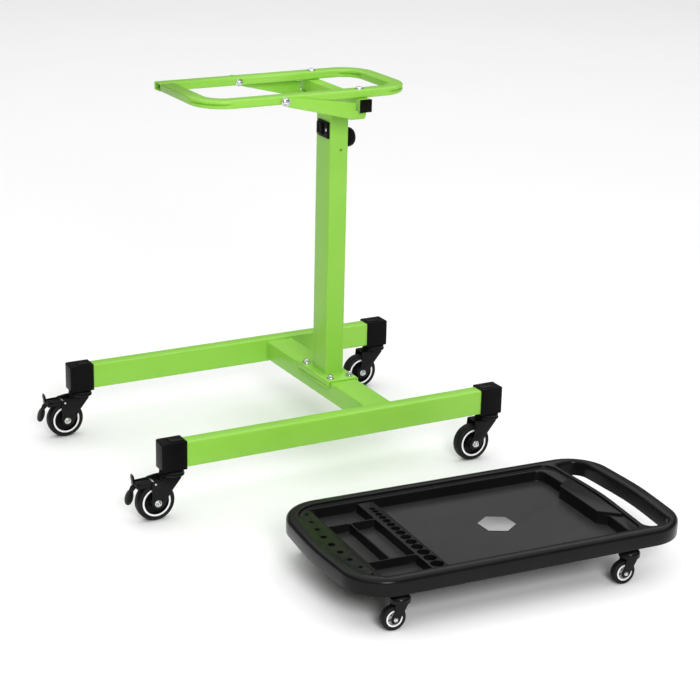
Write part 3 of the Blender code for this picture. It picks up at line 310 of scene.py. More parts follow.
GREEN = powder_coat()
TRAY_BLACK = moulded("tray_plastic", 0.004, 0.008, 1100.0, 0.00004, 0.24, 0.12)
# basin floor: its coarser grain is real; its lighter base colour is a painted reflection of the overhead
# light on the up-facing floor
TRAY_FLOOR_GRAIN_AND_PAINTED_REFLECTION = moulded("tray_grain_and_painted_reflection", 0.015, 0.025, 1500.0, 0.00012, 0.46, 0.22)
CAP_BLACK = moulded("black_plastic", 0.003, 0.005, 1100.0, 0.00004, 0.30, 0.06)
HUB_BLACK = moulded("wheel_hub", 0.003, 0.006, 900.0, 0.00003, 0.28, 0.08)
# hub dish: its grey base colour is a painted reflection of the white ring beside it, not a grey plastic
HUB_DISH_PAINTED_REFLECTION = moulded("hub_dish_painted_reflection", 0.28, 0.42, 900.0, 0.00003, 0.40, 0.35)
NYLON = moulded("black_nylon", 0.020, 0.035, 700.0, 0.00003, 0.50, 0.30)
STEEL = black_steel()
ZINC = zinc_plate()
RUBBER = tyre_rubber()
RING_WHITE = ring_white()
PLATE_GREY = brushed_plate()


# ---- shaping -----------------------------------------------------------------------------
def placed(name, content):
    """A new object in the scene."""
    made = bpy.data.objects.new(name, content)
    bpy.context.scene.collection.objects.link(made)
    return made


def only(kind, parts):
    return [part for part in parts if isinstance(part, kind)]


def outline(corners, side=False, steps=6):
    """One flat face through (u, v, radius) corners, each arc kept within its edges: in XY, or in XZ."""
    spots = []
    for i, (u, v, radius) in enumerate(corners):
        corner = Vector((u, v))
        back = Vector(corners[i - 1][:2]) - corner
        ahead = Vector(corners[(i + 1) % len(corners)][:2]) - corner
        opening = back.angle(ahead)
        reach = min(radius / math.tan(opening / 2), 0.495 * back.length, 0.495 * ahead.length)
        if reach < 0.00001:
            spots.append(corner)
            continue
        inward = (back.normalized() + ahead.normalized()).normalized()
        heart = corner + inward * (reach / math.cos(opening / 2))
        start = corner + back.normalized() * reach - heart
        sweep = (opening - math.pi) if back.cross(ahead) > 0 else (math.pi - opening)
        arc = max(3, round(steps * abs(sweep) / (math.pi / 2)))
        spots += [heart + Matrix.Rotation(sweep * step / arc, 2) @ start for step in range(arc + 1)]
    work = bmesh.new()
    work.faces.new([work.verts.new((u, 0.0, v) if side else (u, v, 0.0)) for u, v in spots])
    return work


def thicken(work, travel):
    """Extrudes a flat outline into a solid."""
    made = bmesh.ops.extrude_face_region(work, geom=list(work.faces), use_keep_orig=True)
    moved = only(bmesh.types.BMVert, made["geom"])
    bmesh.ops.translate(work, vec=travel, verts=moved)
    bmesh.ops.recalc_face_normals(work, faces=work.faces)
    return work


def shift(work, place):
    matrix = place if isinstance(place, Matrix) else Matrix.Translation(place)
    bmesh.ops.transform(work, matrix=matrix, verts=work.verts)
    return work


def slab(corners, low, high, side=False, steps=6):
    """An outline between two levels: up Z, or across Y when it stands on its side."""
    across = Vector((0.0, 1.0, 0.0)) if side else Vector((0.0, 0.0, 1.0))
    return shift(thicken(outline(corners, side, steps), across * (high - low)), across * low)


def soften(work, width, segments=2, sharper=30.0, pick=None):
    """Rounds the edges sharper than an angle that pick chooses."""
    edges = [edge for edge in work.edges
             if edge.is_manifold and edge.calc_face_angle() > math.radians(sharper)
             and (pick is None or pick(edge))]
    bmesh.ops.bevel(work, geom=edges, offset=width, affect="EDGES", segments=segments, profile=0.5,
                    material=-1, clamp_overlap=False)
    return work


def at_level(level):
    """Chooses the edges that lie flat at a height."""
    return lambda edge: all(abs(point.co.z - level) < 0.00002 for point in edge.verts)


def block(low, high, edge=0.0, segments=3):
    work = bmesh.new()
    bmesh.ops.create_cube(work, size=1.0)
    bmesh.ops.scale(work, vec=Vector(high) - Vector(low), verts=work.verts)
    if edge:
        soften(work, edge, segments)
    return shift(work, (Vector(low) + Vector(high)) / 2)


def rod(radius, low, high, place=(0.0, 0.0), segments=24, chamfer=0.0):
    work = bmesh.new()
    bmesh.ops.create_cone(work, cap_ends=True, segments=segments, radius1=radius, radius2=radius,
                          depth=high - low)
    if chamfer:
        soften(work, chamfer, 2, 50.0)
    return shift(work, (place[0], place[1], (low + high) / 2))


def spun(profile, steps=48, closed=False):
    """A turned shape about Z from (radius, height) points."""
    work = bmesh.new()
    points = [work.verts.new((radius, 0.0, height)) for radius, height in profile]
    pairs = list(zip(points, points[1:]))
    if closed:
        pairs.append((points[-1], points[0]))
    edges = [work.edges.new(pair) for pair in pairs]
    bmesh.ops.spin(work, geom=points + edges, cent=(0.0, 0.0, 0.0), axis=(0.0, 0.0, 1.0),
                   dvec=(0.0, 0.0, 0.0), angle=2 * math.pi, steps=steps, use_merge=True,
                   use_duplicate=False)
    bmesh.ops.remove_doubles(work, verts=work.verts, dist=0.000005)
    bmesh.ops.recalc_face_normals(work, faces=work.faces)
    return work


def gather(*works):
    """Several closed shapes as one mesh."""
    whole = bmesh.new()
    for work in works:
        mesh = bpy.data.meshes.new("shape")
        work.to_mesh(mesh)
        work.free()
        whole.from_mesh(mesh)
        bpy.data.meshes.remove(mesh)
    return whole


def combine(work, tools, operation="DIFFERENCE"):
    """Cuts other solids out of one, or joins them to it, and clears the lines left on flat areas."""
    holders = []
    for shape in [work, *tools]:
        mesh = bpy.data.meshes.new("shape")
        shape.to_mesh(mesh)
        shape.free()
        holders.append(placed("shape", mesh))
    for tool in holders[1:]:
        step = holders[0].modifiers.new("shape", "BOOLEAN")
        step.operation = operation
        step.solver = "EXACT"
        step.object = tool
    shown = holders[0].evaluated_get(bpy.context.evaluated_depsgraph_get())
    result = bmesh.new()
    result.from_mesh(shown.to_mesh())
    for holder in holders:
        mesh = holder.data
        bpy.data.objects.remove(holder)
        bpy.data.meshes.remove(mesh)
    bmesh.ops.remove_doubles(result, verts=result.verts, dist=0.00001)
    bmesh.ops.dissolve_limit(result, angle_limit=0.01, use_dissolve_boundaries=False,
                             verts=result.verts, edges=result.edges)
    return result


def finished(name, work, looks, body, place=None, nodes=(), crease=32.0):
    """Sets a shape in its place as a shown piece: welded, facing out, smooth but for its creases."""
    looks = looks if isinstance(looks, (list, tuple)) else [looks]
    bmesh.ops.remove_doubles(work, verts=work.verts, dist=0.000005)
    bmesh.ops.recalc_face_normals(work, faces=work.faces)
    shift(work, place or Matrix())
    mesh = bpy.data.meshes.new(name)
    work.to_mesh(mesh)
    work.free()
    mesh.shade_smooth()
    mesh.set_sharp_from_angle(angle=math.radians(crease))
    for look in looks:
        mesh.materials.append(look)
    piece = placed(name, mesh)
    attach(piece, body)
    if nodes:
        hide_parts(*nodes)
    return piece


def tube(wide, deep, low, high, wall=TUBE_WALL, corner=TUBE_CORNER):
    """An open rectangular tube up Z."""
    work = block((-wide / 2, -deep / 2, low), (wide / 2, deep / 2, high))
    soften(work, corner, 4, 30.0, lambda edge: abs((edge.verts[0].co - edge.verts[1].co).z) > 0.001)
    ends = [face for face in work.faces if abs(face.normal.z) > 0.9]
    bmesh.ops.inset_individual(work, faces=ends, thickness=wall, depth=0.0, use_even_offset=True)
    rims = [edge for face in ends for edge in face.edges]
    bmesh.ops.delete(work, geom=ends, context="FACES_ONLY")
    bmesh.ops.bridge_loops(work, edges=rims)
    return work


def weld_row(start, end, radius=WELD, pitch=0.0034):
    """A run of overlapping weld ripples from one point to another."""
    start = Vector(start)
    end = Vector(end)
    count = max(2, round((end - start).length / pitch))
    work = bmesh.new()
    for i in range(count + 1):
        size = radius * (1.0 + 0.14 * math.sin(2.4 * i + 10.0 * start.x))
        spot = start.lerp(end, i / count)
        bmesh.ops.create_icosphere(work, subdivisions=2, radius=size, matrix=Matrix.Translation(spot))
    return work


X_FROM_Z = Matrix.Rotation(math.radians(90), 4, "Y")
Y_FROM_Z = Matrix.Rotation(math.radians(-90), 4, "X")
NEAR_FROM_Z = Matrix.Rotation(math.radians(90), 4, "X")


# ---- fixings -----------------------------------------------------------------------------
def button_head(radius):
    """A button-head screw's head with a washer and a hex socket, its seat at z = 0."""
    rise = radius * 0.62
    dome = spun([(0.0, rise), (radius * 0.50, rise * 0.96), (radius * 0.80, rise * 0.74),
                 (radius * 0.96, rise * 0.44), (radius, 0.0012), (radius * 1.25, 0.0011),
                 (radius * 1.28, 0.0005), (radius * 1.28, 0.0), (0.0, 0.0)], 32)
    return combine(dome, [rod(radius * 0.42, rise * 0.35, rise * 2, segments=6)])


def lock_nut(radius, stub):
    """A hex nut on a flange with the screw's rounded end standing out of it, seat at z = 0."""
    flange = spun([(radius * 0.9, 0.0022), (radius * 1.22, 0.0016), (radius * 1.28, 0.0008),
                   (radius * 1.28, 0.0), (0.0, 0.0), (0.0, 0.0022)], 28, True)
    nut = rod(radius, 0.0015, radius * 0.95, segments=6, chamfer=0.0004)
    collar = spun([(radius * 0.72, radius * 0.90), (radius * 0.70, radius * 1.12),
                   (radius * 0.60, radius * 1.20), (0.0, radius * 1.20), (0.0, radius * 0.9)], 24, True)
    end = rod(stub, 0.001, radius * 1.5, segments=18, chamfer=stub * 0.25)
    return gather(flange, nut, collar, end)


# ---- stand -------------------------------------------------------------------------------
def legs_and_bar():
    high = LEG_HIGH - LEG_LOW
    reach = (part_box("leg_near")[1].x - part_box("leg_near")[0].x) / 2
    for name, y in (("near", -LEG_Y), ("far", LEG_Y)):
        turned = Matrix.Translation((0.0, y, (LEG_LOW + LEG_HIGH) / 2)) @ X_FROM_Z
        finished("leg_tube_" + name, tube(high, LEG_WIDE, -reach, reach), GREEN, "base",
                 STAND @ turned, ["leg_" + name])
    span = LEG_Y - LEG_WIDE / 2
    turned = Matrix.Translation((BAR_X, 0.0, (BAR_LOW + BAR_HIGH) / 2)) @ Y_FROM_Z
    finished("cross_bar_tube", tube(BAR_WIDE, BAR_HIGH - BAR_LOW, -span, span), GREEN, "base",
             STAND @ turned, ["cross_bar"])
    left = BAR_X - BAR_WIDE / 2
    right = BAR_X + BAR_WIDE / 2
    stop = BAR_WELD_STOP
    rows = []
    for side in (-1, 1):
        y = side * span
        rows.append(weld_row((left + stop, y, BAR_HIGH), (right - stop, y, BAR_HIGH)))
        rows.append(weld_row((left + stop, y, BAR_LOW), (right - stop, y, BAR_LOW)))
        for x in (left, right):
            rows.append(weld_row((x, y, BAR_LOW + stop), (x, y, BAR_HIGH - stop), WELD * 0.8))
    finished("bar_welds", gather(*rows), GREEN, "base", STAND)


def leg_cap(name, y, end):
    """A moulded cup over a leg's end, with a raised panel on its top."""
    low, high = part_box("leg_cap_" + name)
    low = low - Vector((STAND_X, STAND_Y + y, 0.0))
    high = high - Vector((STAND_X, STAND_Y + y, 0.0))
    top = high.z - 0.0012
    body = block((low.x, low.y, low.z), (high.x, high.y, top))
    outer = low.x if end < 0 else high.x
    inner = high.x if end < 0 else low.x
    soften(body, 0.0042, 4, 30.0, lambda edge: all(abs(point.co.x - inner) > 0.001 for point in edge.verts))
    soften(body, 0.0008, 2, 60.0, lambda edge: all(abs(point.co.x - inner) < 0.001 for point in edge.verts))
    socket = block((inner - 0.03, -LEG_WIDE / 2 - FIT, LEG_LOW - FIT),
                   (inner + 0.03, LEG_WIDE / 2 + FIT, LEG_HIGH + FIT))
    body = combine(body, [socket])
    first = outer - end * 0.018
    last = inner + end * 0.0035
    left, right = sorted((first, last))
    corners = [(left, -0.0115, 0.003), (right, -0.0115, 0.003), (right, 0.0115, 0.003), (left, 0.0115, 0.003)]
    panel = slab(corners, top - 0.001, top + 0.0016, steps=5)
    soften(panel, 0.0009, 3, 50.0, at_level(top + 0.0016))
    finished("end_cap_" + name, gather(body, panel), CAP_BLACK, "base",
             STAND @ Matrix.Translation((0.0, y, 0.0)), ["leg_cap_" + name])


def saddle_and_column():
    outer = BAR_WIDE / 2 + 2 * FIT + SADDLE_THICK
    inner = outer - SADDLE_THICK
    low = SADDLE_HIGH - SADDLE_LIP
    half = SADDLE_LONG / 2
    corners = [(-outer, low, 0.0), (-inner, low, 0.0), (-inner, SADDLE_HIGH - SADDLE_THICK, 0.001),
               (inner, SADDLE_HIGH - SADDLE_THICK, 0.001), (inner, low, 0.0), (outer, low, 0.0),
               (outer, SADDLE_HIGH, 0.0042), (-outer, SADDLE_HIGH, 0.0042)]
    plate = slab(corners, -half, half, True)
    soften(plate, 0.006, 5, 60.0,
           lambda edge: all(abs(point.co.z - low) < 0.0001 and abs(abs(point.co.y) - half) < 0.0001
                            for point in edge.verts))
    soften(plate, 0.0006, 2, 60.0)
    finished("saddle_plate", plate, GREEN, "base", COLUMN,
             ["column_saddle"])
    for i in range(4):
        low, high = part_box("saddle_bolt_%d" % (i + 1))
        spot = Matrix.Translation(((low.x + high.x) / 2, (low.y + high.y) / 2, SADDLE_HIGH + 0.0002))
        turn = Matrix.Rotation(0.5 * i, 4, "Z")
        finished("saddle_nut_%d" % (i + 1), lock_nut(0.0060, 0.003), ZINC, "base", spot @ turn,
                 ["saddle_bolt_%d" % (i + 1)])
    pilot = shift(rod(0.0025, 0.0, 0.05), NEAR_FROM_Z)
    shift(pilot, (0.0035, 0.0, COLUMN_HIGH - 0.077))
    column = tube(COLUMN_DEEP, COLUMN_WIDE, COLUMN_LOW, COLUMN_HIGH, 0.002, 0.0032)
    finished("column_body", combine(column, [pilot]), GREEN, "base",
             COLUMN, ["column_tube"])
    x = COLUMN_DEEP / 2
    y = COLUMN_WIDE / 2
    z = COLUMN_LOW
    stop = WELD_STOP
    rows = [weld_row((-x + stop, side, z), (x - stop, side, z), COLUMN_WELD) for side in (-y, y)]
    rows += [weld_row((side, -y + stop, z), (side, y - stop, z), COLUMN_WELD) for side in (-x, x)]
    finished("column_welds", gather(*rows), GREEN, "base", COLUMN)


def cover_plate():
    """The black cover high on the column: plate, raised grip with a thumb hollow, and its screw."""
    low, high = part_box("column_cover")
    thick = 0.003
    left = high.x - thick
    plate = block((left, low.y, low.z), (high.x, high.y, high.z), 0.0011, 3)
    middle = (low.z + high.z) / 2
    grip = block((low.x, low.y + 0.022, middle - 0.0125), (high.x - 0.001, high.y - 0.002, middle + 0.0125),
                 0.0024, 4)
    hollow = block((low.x - 0.002, low.y + 0.028, middle - 0.0075),
                   (low.x + 0.0018, high.y - 0.008, middle + 0.0075), 0.0015, 3)
    rib = block((left - 0.0008, low.y + 0.0035, middle - 0.0135),
                (left + 0.001, low.y + 0.0045, middle + 0.0135))
    finished("cover_plate", gather(plate, combine(grip, [hollow]), rib), CAP_BLACK, "base", None,
             ["column_cover"])
    screw = spun([(0.0, 0.0014), (0.0018, 0.0013), (0.0030, 0.0006), (0.0032, 0.0), (0.0, 0.0)], 24)
    slot = block((-0.0018, -0.0003, 0.0008), (0.0018, 0.0003, 0.003))
    seat = Matrix.Translation((left, low.y + 0.010, middle)) @ Matrix.Rotation(math.radians(-90), 4, "Y")
    finished("cover_screw", combine(screw, [slot]), ZINC, "base", seat)


def knob():
    """A round knob with a dished face and a ribbed rim, on its screw."""
    body = spun([(0.0, 0.0238), (0.0095, 0.0238), (0.0115, 0.0250), (0.0150, 0.0240), (0.0180, 0.0205),
                 (KNOB_RADIUS, 0.0150), (KNOB_RADIUS, 0.0075), (0.0178, 0.0030), (0.0120, 0.0010),
                 (0.0100, 0.0),
                 (0.0040, 0.0), (0.0040, -0.0050), (0.0, -0.0050)], KNOB_STEPS)
    rim = [point for point in body.verts if Vector((point.co.x, point.co.y)).length > FLUTE_FROM]
    for point in rim:
        turn = round(math.atan2(point.co.y, point.co.x) / (2 * math.pi / KNOB_STEPS))
        if turn % 3 == 0:
            point.co.x *= FLUTE_PRESS
            point.co.y *= FLUTE_PRESS
    finished("knob_body", body, CAP_BLACK, "knob", Matrix.Translation(KNOB) @ X_FROM_Z, ["lock_knob"])


def mast():
    low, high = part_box("inner_mast")
    shape = tube(high.x - low.x, high.y - low.y, low.z, high.z, 0.002, 0.003)
    finished("mast_tube", shape, GREEN, "mast", COLUMN, ["inner_mast"])
    frame["nodes"]["column_bush"].material_slots[0].material = NYLON


def support():
    """Two folded arms and the web between them, with a ledge and notch for the cross tube."""
    ledge = WEB_LOW + 0.0145
    notch = CROSS_X - 0.016
    right = BAR_X + 0.009
    outer = ARM_GAP + ARM_THICK
    web_left = BAR_X - 0.024
    corners = [(PIVOT.x, PIVOT.z - 0.0090, 0.0), (web_left, WEB_LOW + 0.002, 0.030), (right, WEB_LOW, 0.006),
               (right, ledge, 0.001), (notch, ledge, 0.0008), (notch, ledge + 0.0175, 0.0015),
               (PIVOT.x + 0.086, PIVOT.z - 0.0035, 0.0), (PIVOT.x, PIVOT.z + 0.0092, 0.006),
               (PIVOT.x - 0.0095, PIVOT.z, 0.006)]
    near = slab(corners, -outer, -ARM_GAP, True)
    far = slab(corners, ARM_GAP, outer, True)
    web = block((web_left, -outer + 0.0005, WEB_LOW + 0.0001),
                (right - 0.003, outer - 0.0005, WEB_LOW + 0.005))
    shape = combine(near, [far, web], "UNION")
    soften(shape, 0.0005, 2, 50.0)
    finished("support_arms", shape, GREEN, "mast", STAND, ["ring_support"])
    for name, side in (("near", -1), ("far", 1)):
        turn, back = (NEAR_FROM_Z, Y_FROM_Z) if side < 0 else (Y_FROM_Z, NEAR_FROM_Z)
        seat = Matrix.Translation((PIVOT.x, side * outer, PIVOT.z))
        inner = Matrix.Translation((PIVOT.x, side * (ARM_GAP - RING_TUBE - 2 * FIT), PIVOT.z))
        screw = shift(button_head(0.0072), seat @ turn)
        nut = shift(lock_nut(0.0058, 0.0035), inner @ back)
        finished("pivot_screw_" + name, gather(screw, nut), ZINC, "mast", STAND, ["pivot_bolt_" + name])


def bend_crease(work):
    """Presses the crease that bending leaves along the middle of the outer and inner walls."""
    middle = (RING_LOW + RING_HIGH) / 2
    radius = RING_BEND - RING_TUBE / 2
    for x, y in ((1, 1), (1, -1), (-1, -1)):
        heart = Vector((x * (RING_LONG / 2 - RING_BEND), y * (RING_WIDE / 2 - RING_BEND)))
        for point in work.verts:
            away = Vector((point.co.x, point.co.y)) - heart
            if abs(point.co.z - middle) > 0.0002 or away.x * x < 0 or away.y * y < 0:
                continue
            if away.length > RING_BEND + 0.001 or away.length < radius - RING_TUBE:
                continue
            share = math.atan2(away.y * y, away.x * x) / (math.pi / 2)
            press = 0.0034 * min(1.0, 5.0 * share, 5.0 * (1.0 - share))
            toward = 1.0 if away.length < radius else -1.0
            away.normalize()
            point.co.x += toward * press * away.x
            point.co.y += toward * press * away.y


def ring():
    """The tray carrier: one flat tube bent three times, its last end butted and welded to the first run."""
    middle = (RING_LOW + RING_HIGH) / 2
    half = (RING_HIGH - RING_LOW) / 2
    far = RING_WIDE / 2
    end = RING_LONG / 2
    work = bmesh.new()
    section = [(far, half), (far, 0.0020), (far, 0.0), (far, -0.0020), (far, -half),
               (far - RING_TUBE, -half), (far - RING_TUBE, -0.0020), (far - RING_TUBE, 0.0),
               (far - RING_TUBE, 0.0020), (far - RING_TUBE, half)]
    points = [work.verts.new((-end, y, middle + z)) for y, z in section]
    for first, second in zip(points, points[1:] + points[:1]):
        work.edges.new((first, second))
    corners = [points[0], points[4], points[5], points[9]]
    bmesh.ops.bevel(work, geom=corners, offset=0.0032, offset_type="ABSOLUTE", affect="VERTICES", segments=4,
                    profile=0.5, material=-1)
    loop = list(work.edges)
    straight = RING_LONG - RING_BEND
    side = RING_WIDE - 2 * RING_BEND
    runs = [(Vector((straight, 0.0, 0.0)), (1, 1)), (Vector((0.0, -side, 0.0)), (1, -1)),
            (Vector((-(RING_LONG - 2 * RING_BEND), 0.0, 0.0)), (-1, -1)),
            (Vector((0.0, RING_WIDE - RING_BEND - RING_TUBE - 0.0002, 0.0)), None)]
    for travel, bend in runs:
        made = bmesh.ops.extrude_edge_only(work, edges=loop)["geom"]
        bmesh.ops.translate(work, vec=travel, verts=only(bmesh.types.BMVert, made))
        loop = only(bmesh.types.BMEdge, made)
        if bend:
            heart = (bend[0] * (end - RING_BEND), bend[1] * (far - RING_BEND), 0.0)
            made = bmesh.ops.spin(work, geom=loop, cent=heart, axis=(0.0, 0.0, 1.0), dvec=(0.0, 0.0, 0.0),
                                  angle=-math.pi / 2, steps=16, use_merge=False, use_duplicate=False)
            loop = only(bmesh.types.BMEdge, made["geom_last"])
    bend_crease(work)
    piece = finished("ring_tube", work, GREEN, "ring", STAND, ["ring_frame"], 40.0)
    wall = piece.modifiers.new("wall", "SOLIDIFY")
    wall.thickness = RING_WALL
    wall.offset = -1.0
    butt = far - RING_TUBE
    inner = -end + RING_TUBE
    stop = WELD_STOP
    rows = [weld_row((-end + stop, butt, z), (inner - stop, butt, z), RING_WELD)
            for z in (RING_HIGH - 0.0005, RING_LOW + 0.0005)]
    rows.append(weld_row((inner, butt, RING_LOW + stop), (inner, butt, RING_HIGH - stop), RING_WELD))
    finished("ring_welds", gather(*rows), GREEN, "ring", STAND)
    low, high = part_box("cross_tube")
    reach = (high.y - low.y) / 2
    turned = Matrix.Translation((CROSS_X, 0.0, CROSS_Z)) @ Y_FROM_Z
    finished("cross_tube_body", tube(high.x - low.x, high.z - low.z, -reach, reach, 0.0015, 0.0026), GREEN,
             "ring", STAND @ turned, ["cross_tube"])
    for name, side in (("near", -1), ("far", 1)):
        node = "cross_tube_cap_" + name
        low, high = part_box(node)
        thick = 0.0033
        face = high.y - thick if side > 0 else low.y
        lid = block((low.x, face, low.z), (high.x, face + thick, high.z), 0.0010, 3)
        plug = block((low.x + 0.004, low.y + 0.001, low.z + 0.004),
                     (high.x - 0.004, high.y - 0.001, high.z - 0.004))
        finished("cross_cap_" + name, gather(lid, plug), CAP_BLACK, "ring", None, [node])
        spot = Matrix.Translation((CROSS_X, side * (far - RING_TUBE / 2), RING_HIGH))
        finished("ring_screw_" + name, button_head(0.0066), ZINC, "ring", STAND @ spot)


# ---- casters -----------------------------------------------------------------------------
# top: fork's plate; seat: race's top; front, knee: the arm's front edge; crown: the race's outline, as shares
STAND_CASTER = dict(radius=0.0375, half=0.0110, side=0.0145, sheet=0.0025, top=0.0845, seat=0.0949,
                    trail=0.0345, end=0.0115, front=0.0158, knee=(0.0245, 0.0155), race=0.0240, stem=0.005,
                    rim=0.0285, ring=0.0245, boss=0.0100, nut=0.0055, bolt=0.004,
                    crown=((0.86, 0.0), (1.0, 0.08), (1.0, 0.28), (0.95, 0.42), (0.84, 0.48), (0.86, 0.54),
                           (0.96, 0.60), (0.97, 0.74), (0.87, 0.90), (0.70, 1.0)))
TRAY_CASTER = dict(radius=0.0220, half=0.00725, side=0.00875, sheet=0.0020, top=0.0495, seat=0.0629,
                   trail=0.0118, end=0.0072, front=0.0128, knee=(0.0108, 0.0020), race=0.0188, stem=0.004,
                   rim=0.0152, ring=0.0122, boss=0.0048, nut=0.0031, bolt=0.0022,
                   crown=((0.90, 0.0), (0.99, 0.06), (1.0, 0.45), (0.98, 0.62), (0.91, 0.78), (0.78, 0.91),
                          (0.62, 0.98), (0.5, 1.0)))
PLATE_EDGE = 0.023      # the braked fork's plate ends here, behind the stem
CHANNEL_FRONT = 0.025   # and the brake's channel starts here
CHANNEL_SHEET = 0.0016
TOE_RADIUS = 0.0145
TOE_HALF = 0.0018       # half the toe pad's thickness
TOE_LEAN = 22           # degrees from upright
TOE_RIB_REACH = 0.0120
TOE_RIB_PITCH = 0.0046


def fork(name, size, body, place, braked):
    """Pressed fork: a plate folded down into two arms, with the ball race above it."""
    top = size["top"]
    trail = size["trail"]
    end = size["end"]
    side = size["side"]
    axle = size["radius"]
    outer = side + size["sheet"]
    knee = (size["knee"][0] - trail, size["knee"][1] + axle, 0.009)
    if braked:
        back = [(-PLATE_EDGE, top, 0.002), (-trail - end, top - 0.004, 0.004)]
    else:
        back = [(-trail, top, 0.0025), (-trail - end * 0.3, axle + end * 1.5, 0.014),
                (-trail - end, axle + end * 0.4, 0.008)]
    corners = back + [(-trail - end, axle - end, end * 0.97), (-trail + end, axle - end, end * 0.97), knee,
                      (size["front"], top, 0.003)]
    shell = block((-0.1, -outer, -0.02), (0.1, outer, top))
    soften(shell, 0.0032, 5, 60.0, at_level(top))
    hollow = block((-0.2, -side, -0.03), (0.2, side, top - size["sheet"]), 0.0012, 3)
    shape = combine(combine(shell, [hollow]), [slab(corners, -0.05, 0.05, True, 8)], "INTERSECT")
    if braked:
        shape = combine(shape, [block((-0.2, -side, -0.1), (-PLATE_EDGE, side, 0.2))])
    soften(shape, 0.0004, 2, 55.0)
    low = top - 0.0005
    rise = size["seat"] - low
    crown = [(size["race"] * r, low + rise * z) for r, z in size["crown"]]
    cup = spun([(0.0, low)] + crown + [(0.0, size["seat"])], 56)
    stem = rod(size["stem"], size["seat"] - 0.001, size["seat"] + 0.012, segments=24)
    finished(name + "_pressed_fork", gather(shape, cup, stem), STEEL, body, place, [name + "_fork"])


def wheel(name, size, body, place, inner):
    """Tyre, hub with a white ring on each face and low ribs in its dish; on the tray's wheels the dish is
    grey, a painted reflection of the white ring.
    """
    axle = place @ Matrix.Translation((-size["trail"], 0.0, size["radius"])) @ Y_FROM_Z
    radius = size["radius"]
    half = size["half"]
    rim = size["rim"]
    tread = [(radius, 0.0), (radius * 0.998, half * 0.40), (radius * 0.985, half * 0.66),
             (radius * 0.955, half * 0.86), (radius * 0.91, half * 0.97), (radius * 0.87, half),
             (rim + 0.0018, half * 0.985), (rim + 0.0003, half * 0.90), (rim, half * 0.5)]
    mirrored = [(r, -z) for r, z in reversed(tread[1:])]
    tyre = spun(tread + mirrored, 72, True)
    finished(name + "_tyre_body", tyre, RUBBER, body, axle, [name + "_tyre"], 40.0)
    ring = size["ring"]
    boss = size["boss"]
    web = half * 0.42
    face = half * 0.93
    bore = size["bolt"] + 0.0004
    side = size["side"] - 0.0004
    front = [(rim - 0.0002, half * 0.80), (rim - 0.0005, face), (ring, face), (ring - 0.0006, face - 0.0006),
             (ring - 0.0016, web), (boss * 1.25, web * 0.9), (boss, face * 0.72), (boss * 0.86, face * 0.82),
             (boss * 0.62, face * 0.86), (boss * 0.60, side), (bore, side)]
    back = [(r, -z) for r, z in reversed(front)]
    hub = spun(front + back, 64, True)
    for facet in hub.faces:
        spot = facet.calc_center_median()
        if Vector((spot.x, spot.y)).length > ring - 0.0001 and abs(facet.normal.z) > 0.8:
            facet.material_index = 1
        # dish faces on the tray's wheels take the grey: painted reflection of the white ring
        elif inner == HUB_DISH_PAINTED_REFLECTION and abs(spot.z) > web * 0.85:
            facet.material_index = 2
    ribs = []
    for i in range(5):
        for top in (1, -1):
            rib = block((boss * 0.9, -0.0007, -0.0010), (ring - 0.0012, 0.0007, 0.0010), 0.0003, 2)
            shift(rib, (0.0, 0.0, top * (web + 0.0004)))
            ribs.append(shift(rib, Matrix.Rotation(math.radians(72 * i + 15), 4, "Z")))
    looks = [HUB_BLACK, RING_WHITE, HUB_DISH_PAINTED_REFLECTION]
    finished(name + "_hub_body", gather(hub, *ribs), looks, body, axle, [name + "_hub"])


def axle_bolt(name, size, body, place):
    reach = size["side"] + size["sheet"]
    spot = Matrix.Translation((-size["trail"], 0.0, size["radius"]))
    ends = [shift(lock_nut(size["nut"], size["bolt"] * 0.8), Matrix.Translation((0.0, y, 0.0)) @ turn)
            for y, turn in ((-reach, NEAR_FROM_Z), (reach, Y_FROM_Z))]
    shank = shift(rod(size["bolt"], -reach, reach), Y_FROM_Z)
    finished(name + "_axle_bolt", gather(*ends, shank), ZINC, body, place @ spot, [name + "_axle"])


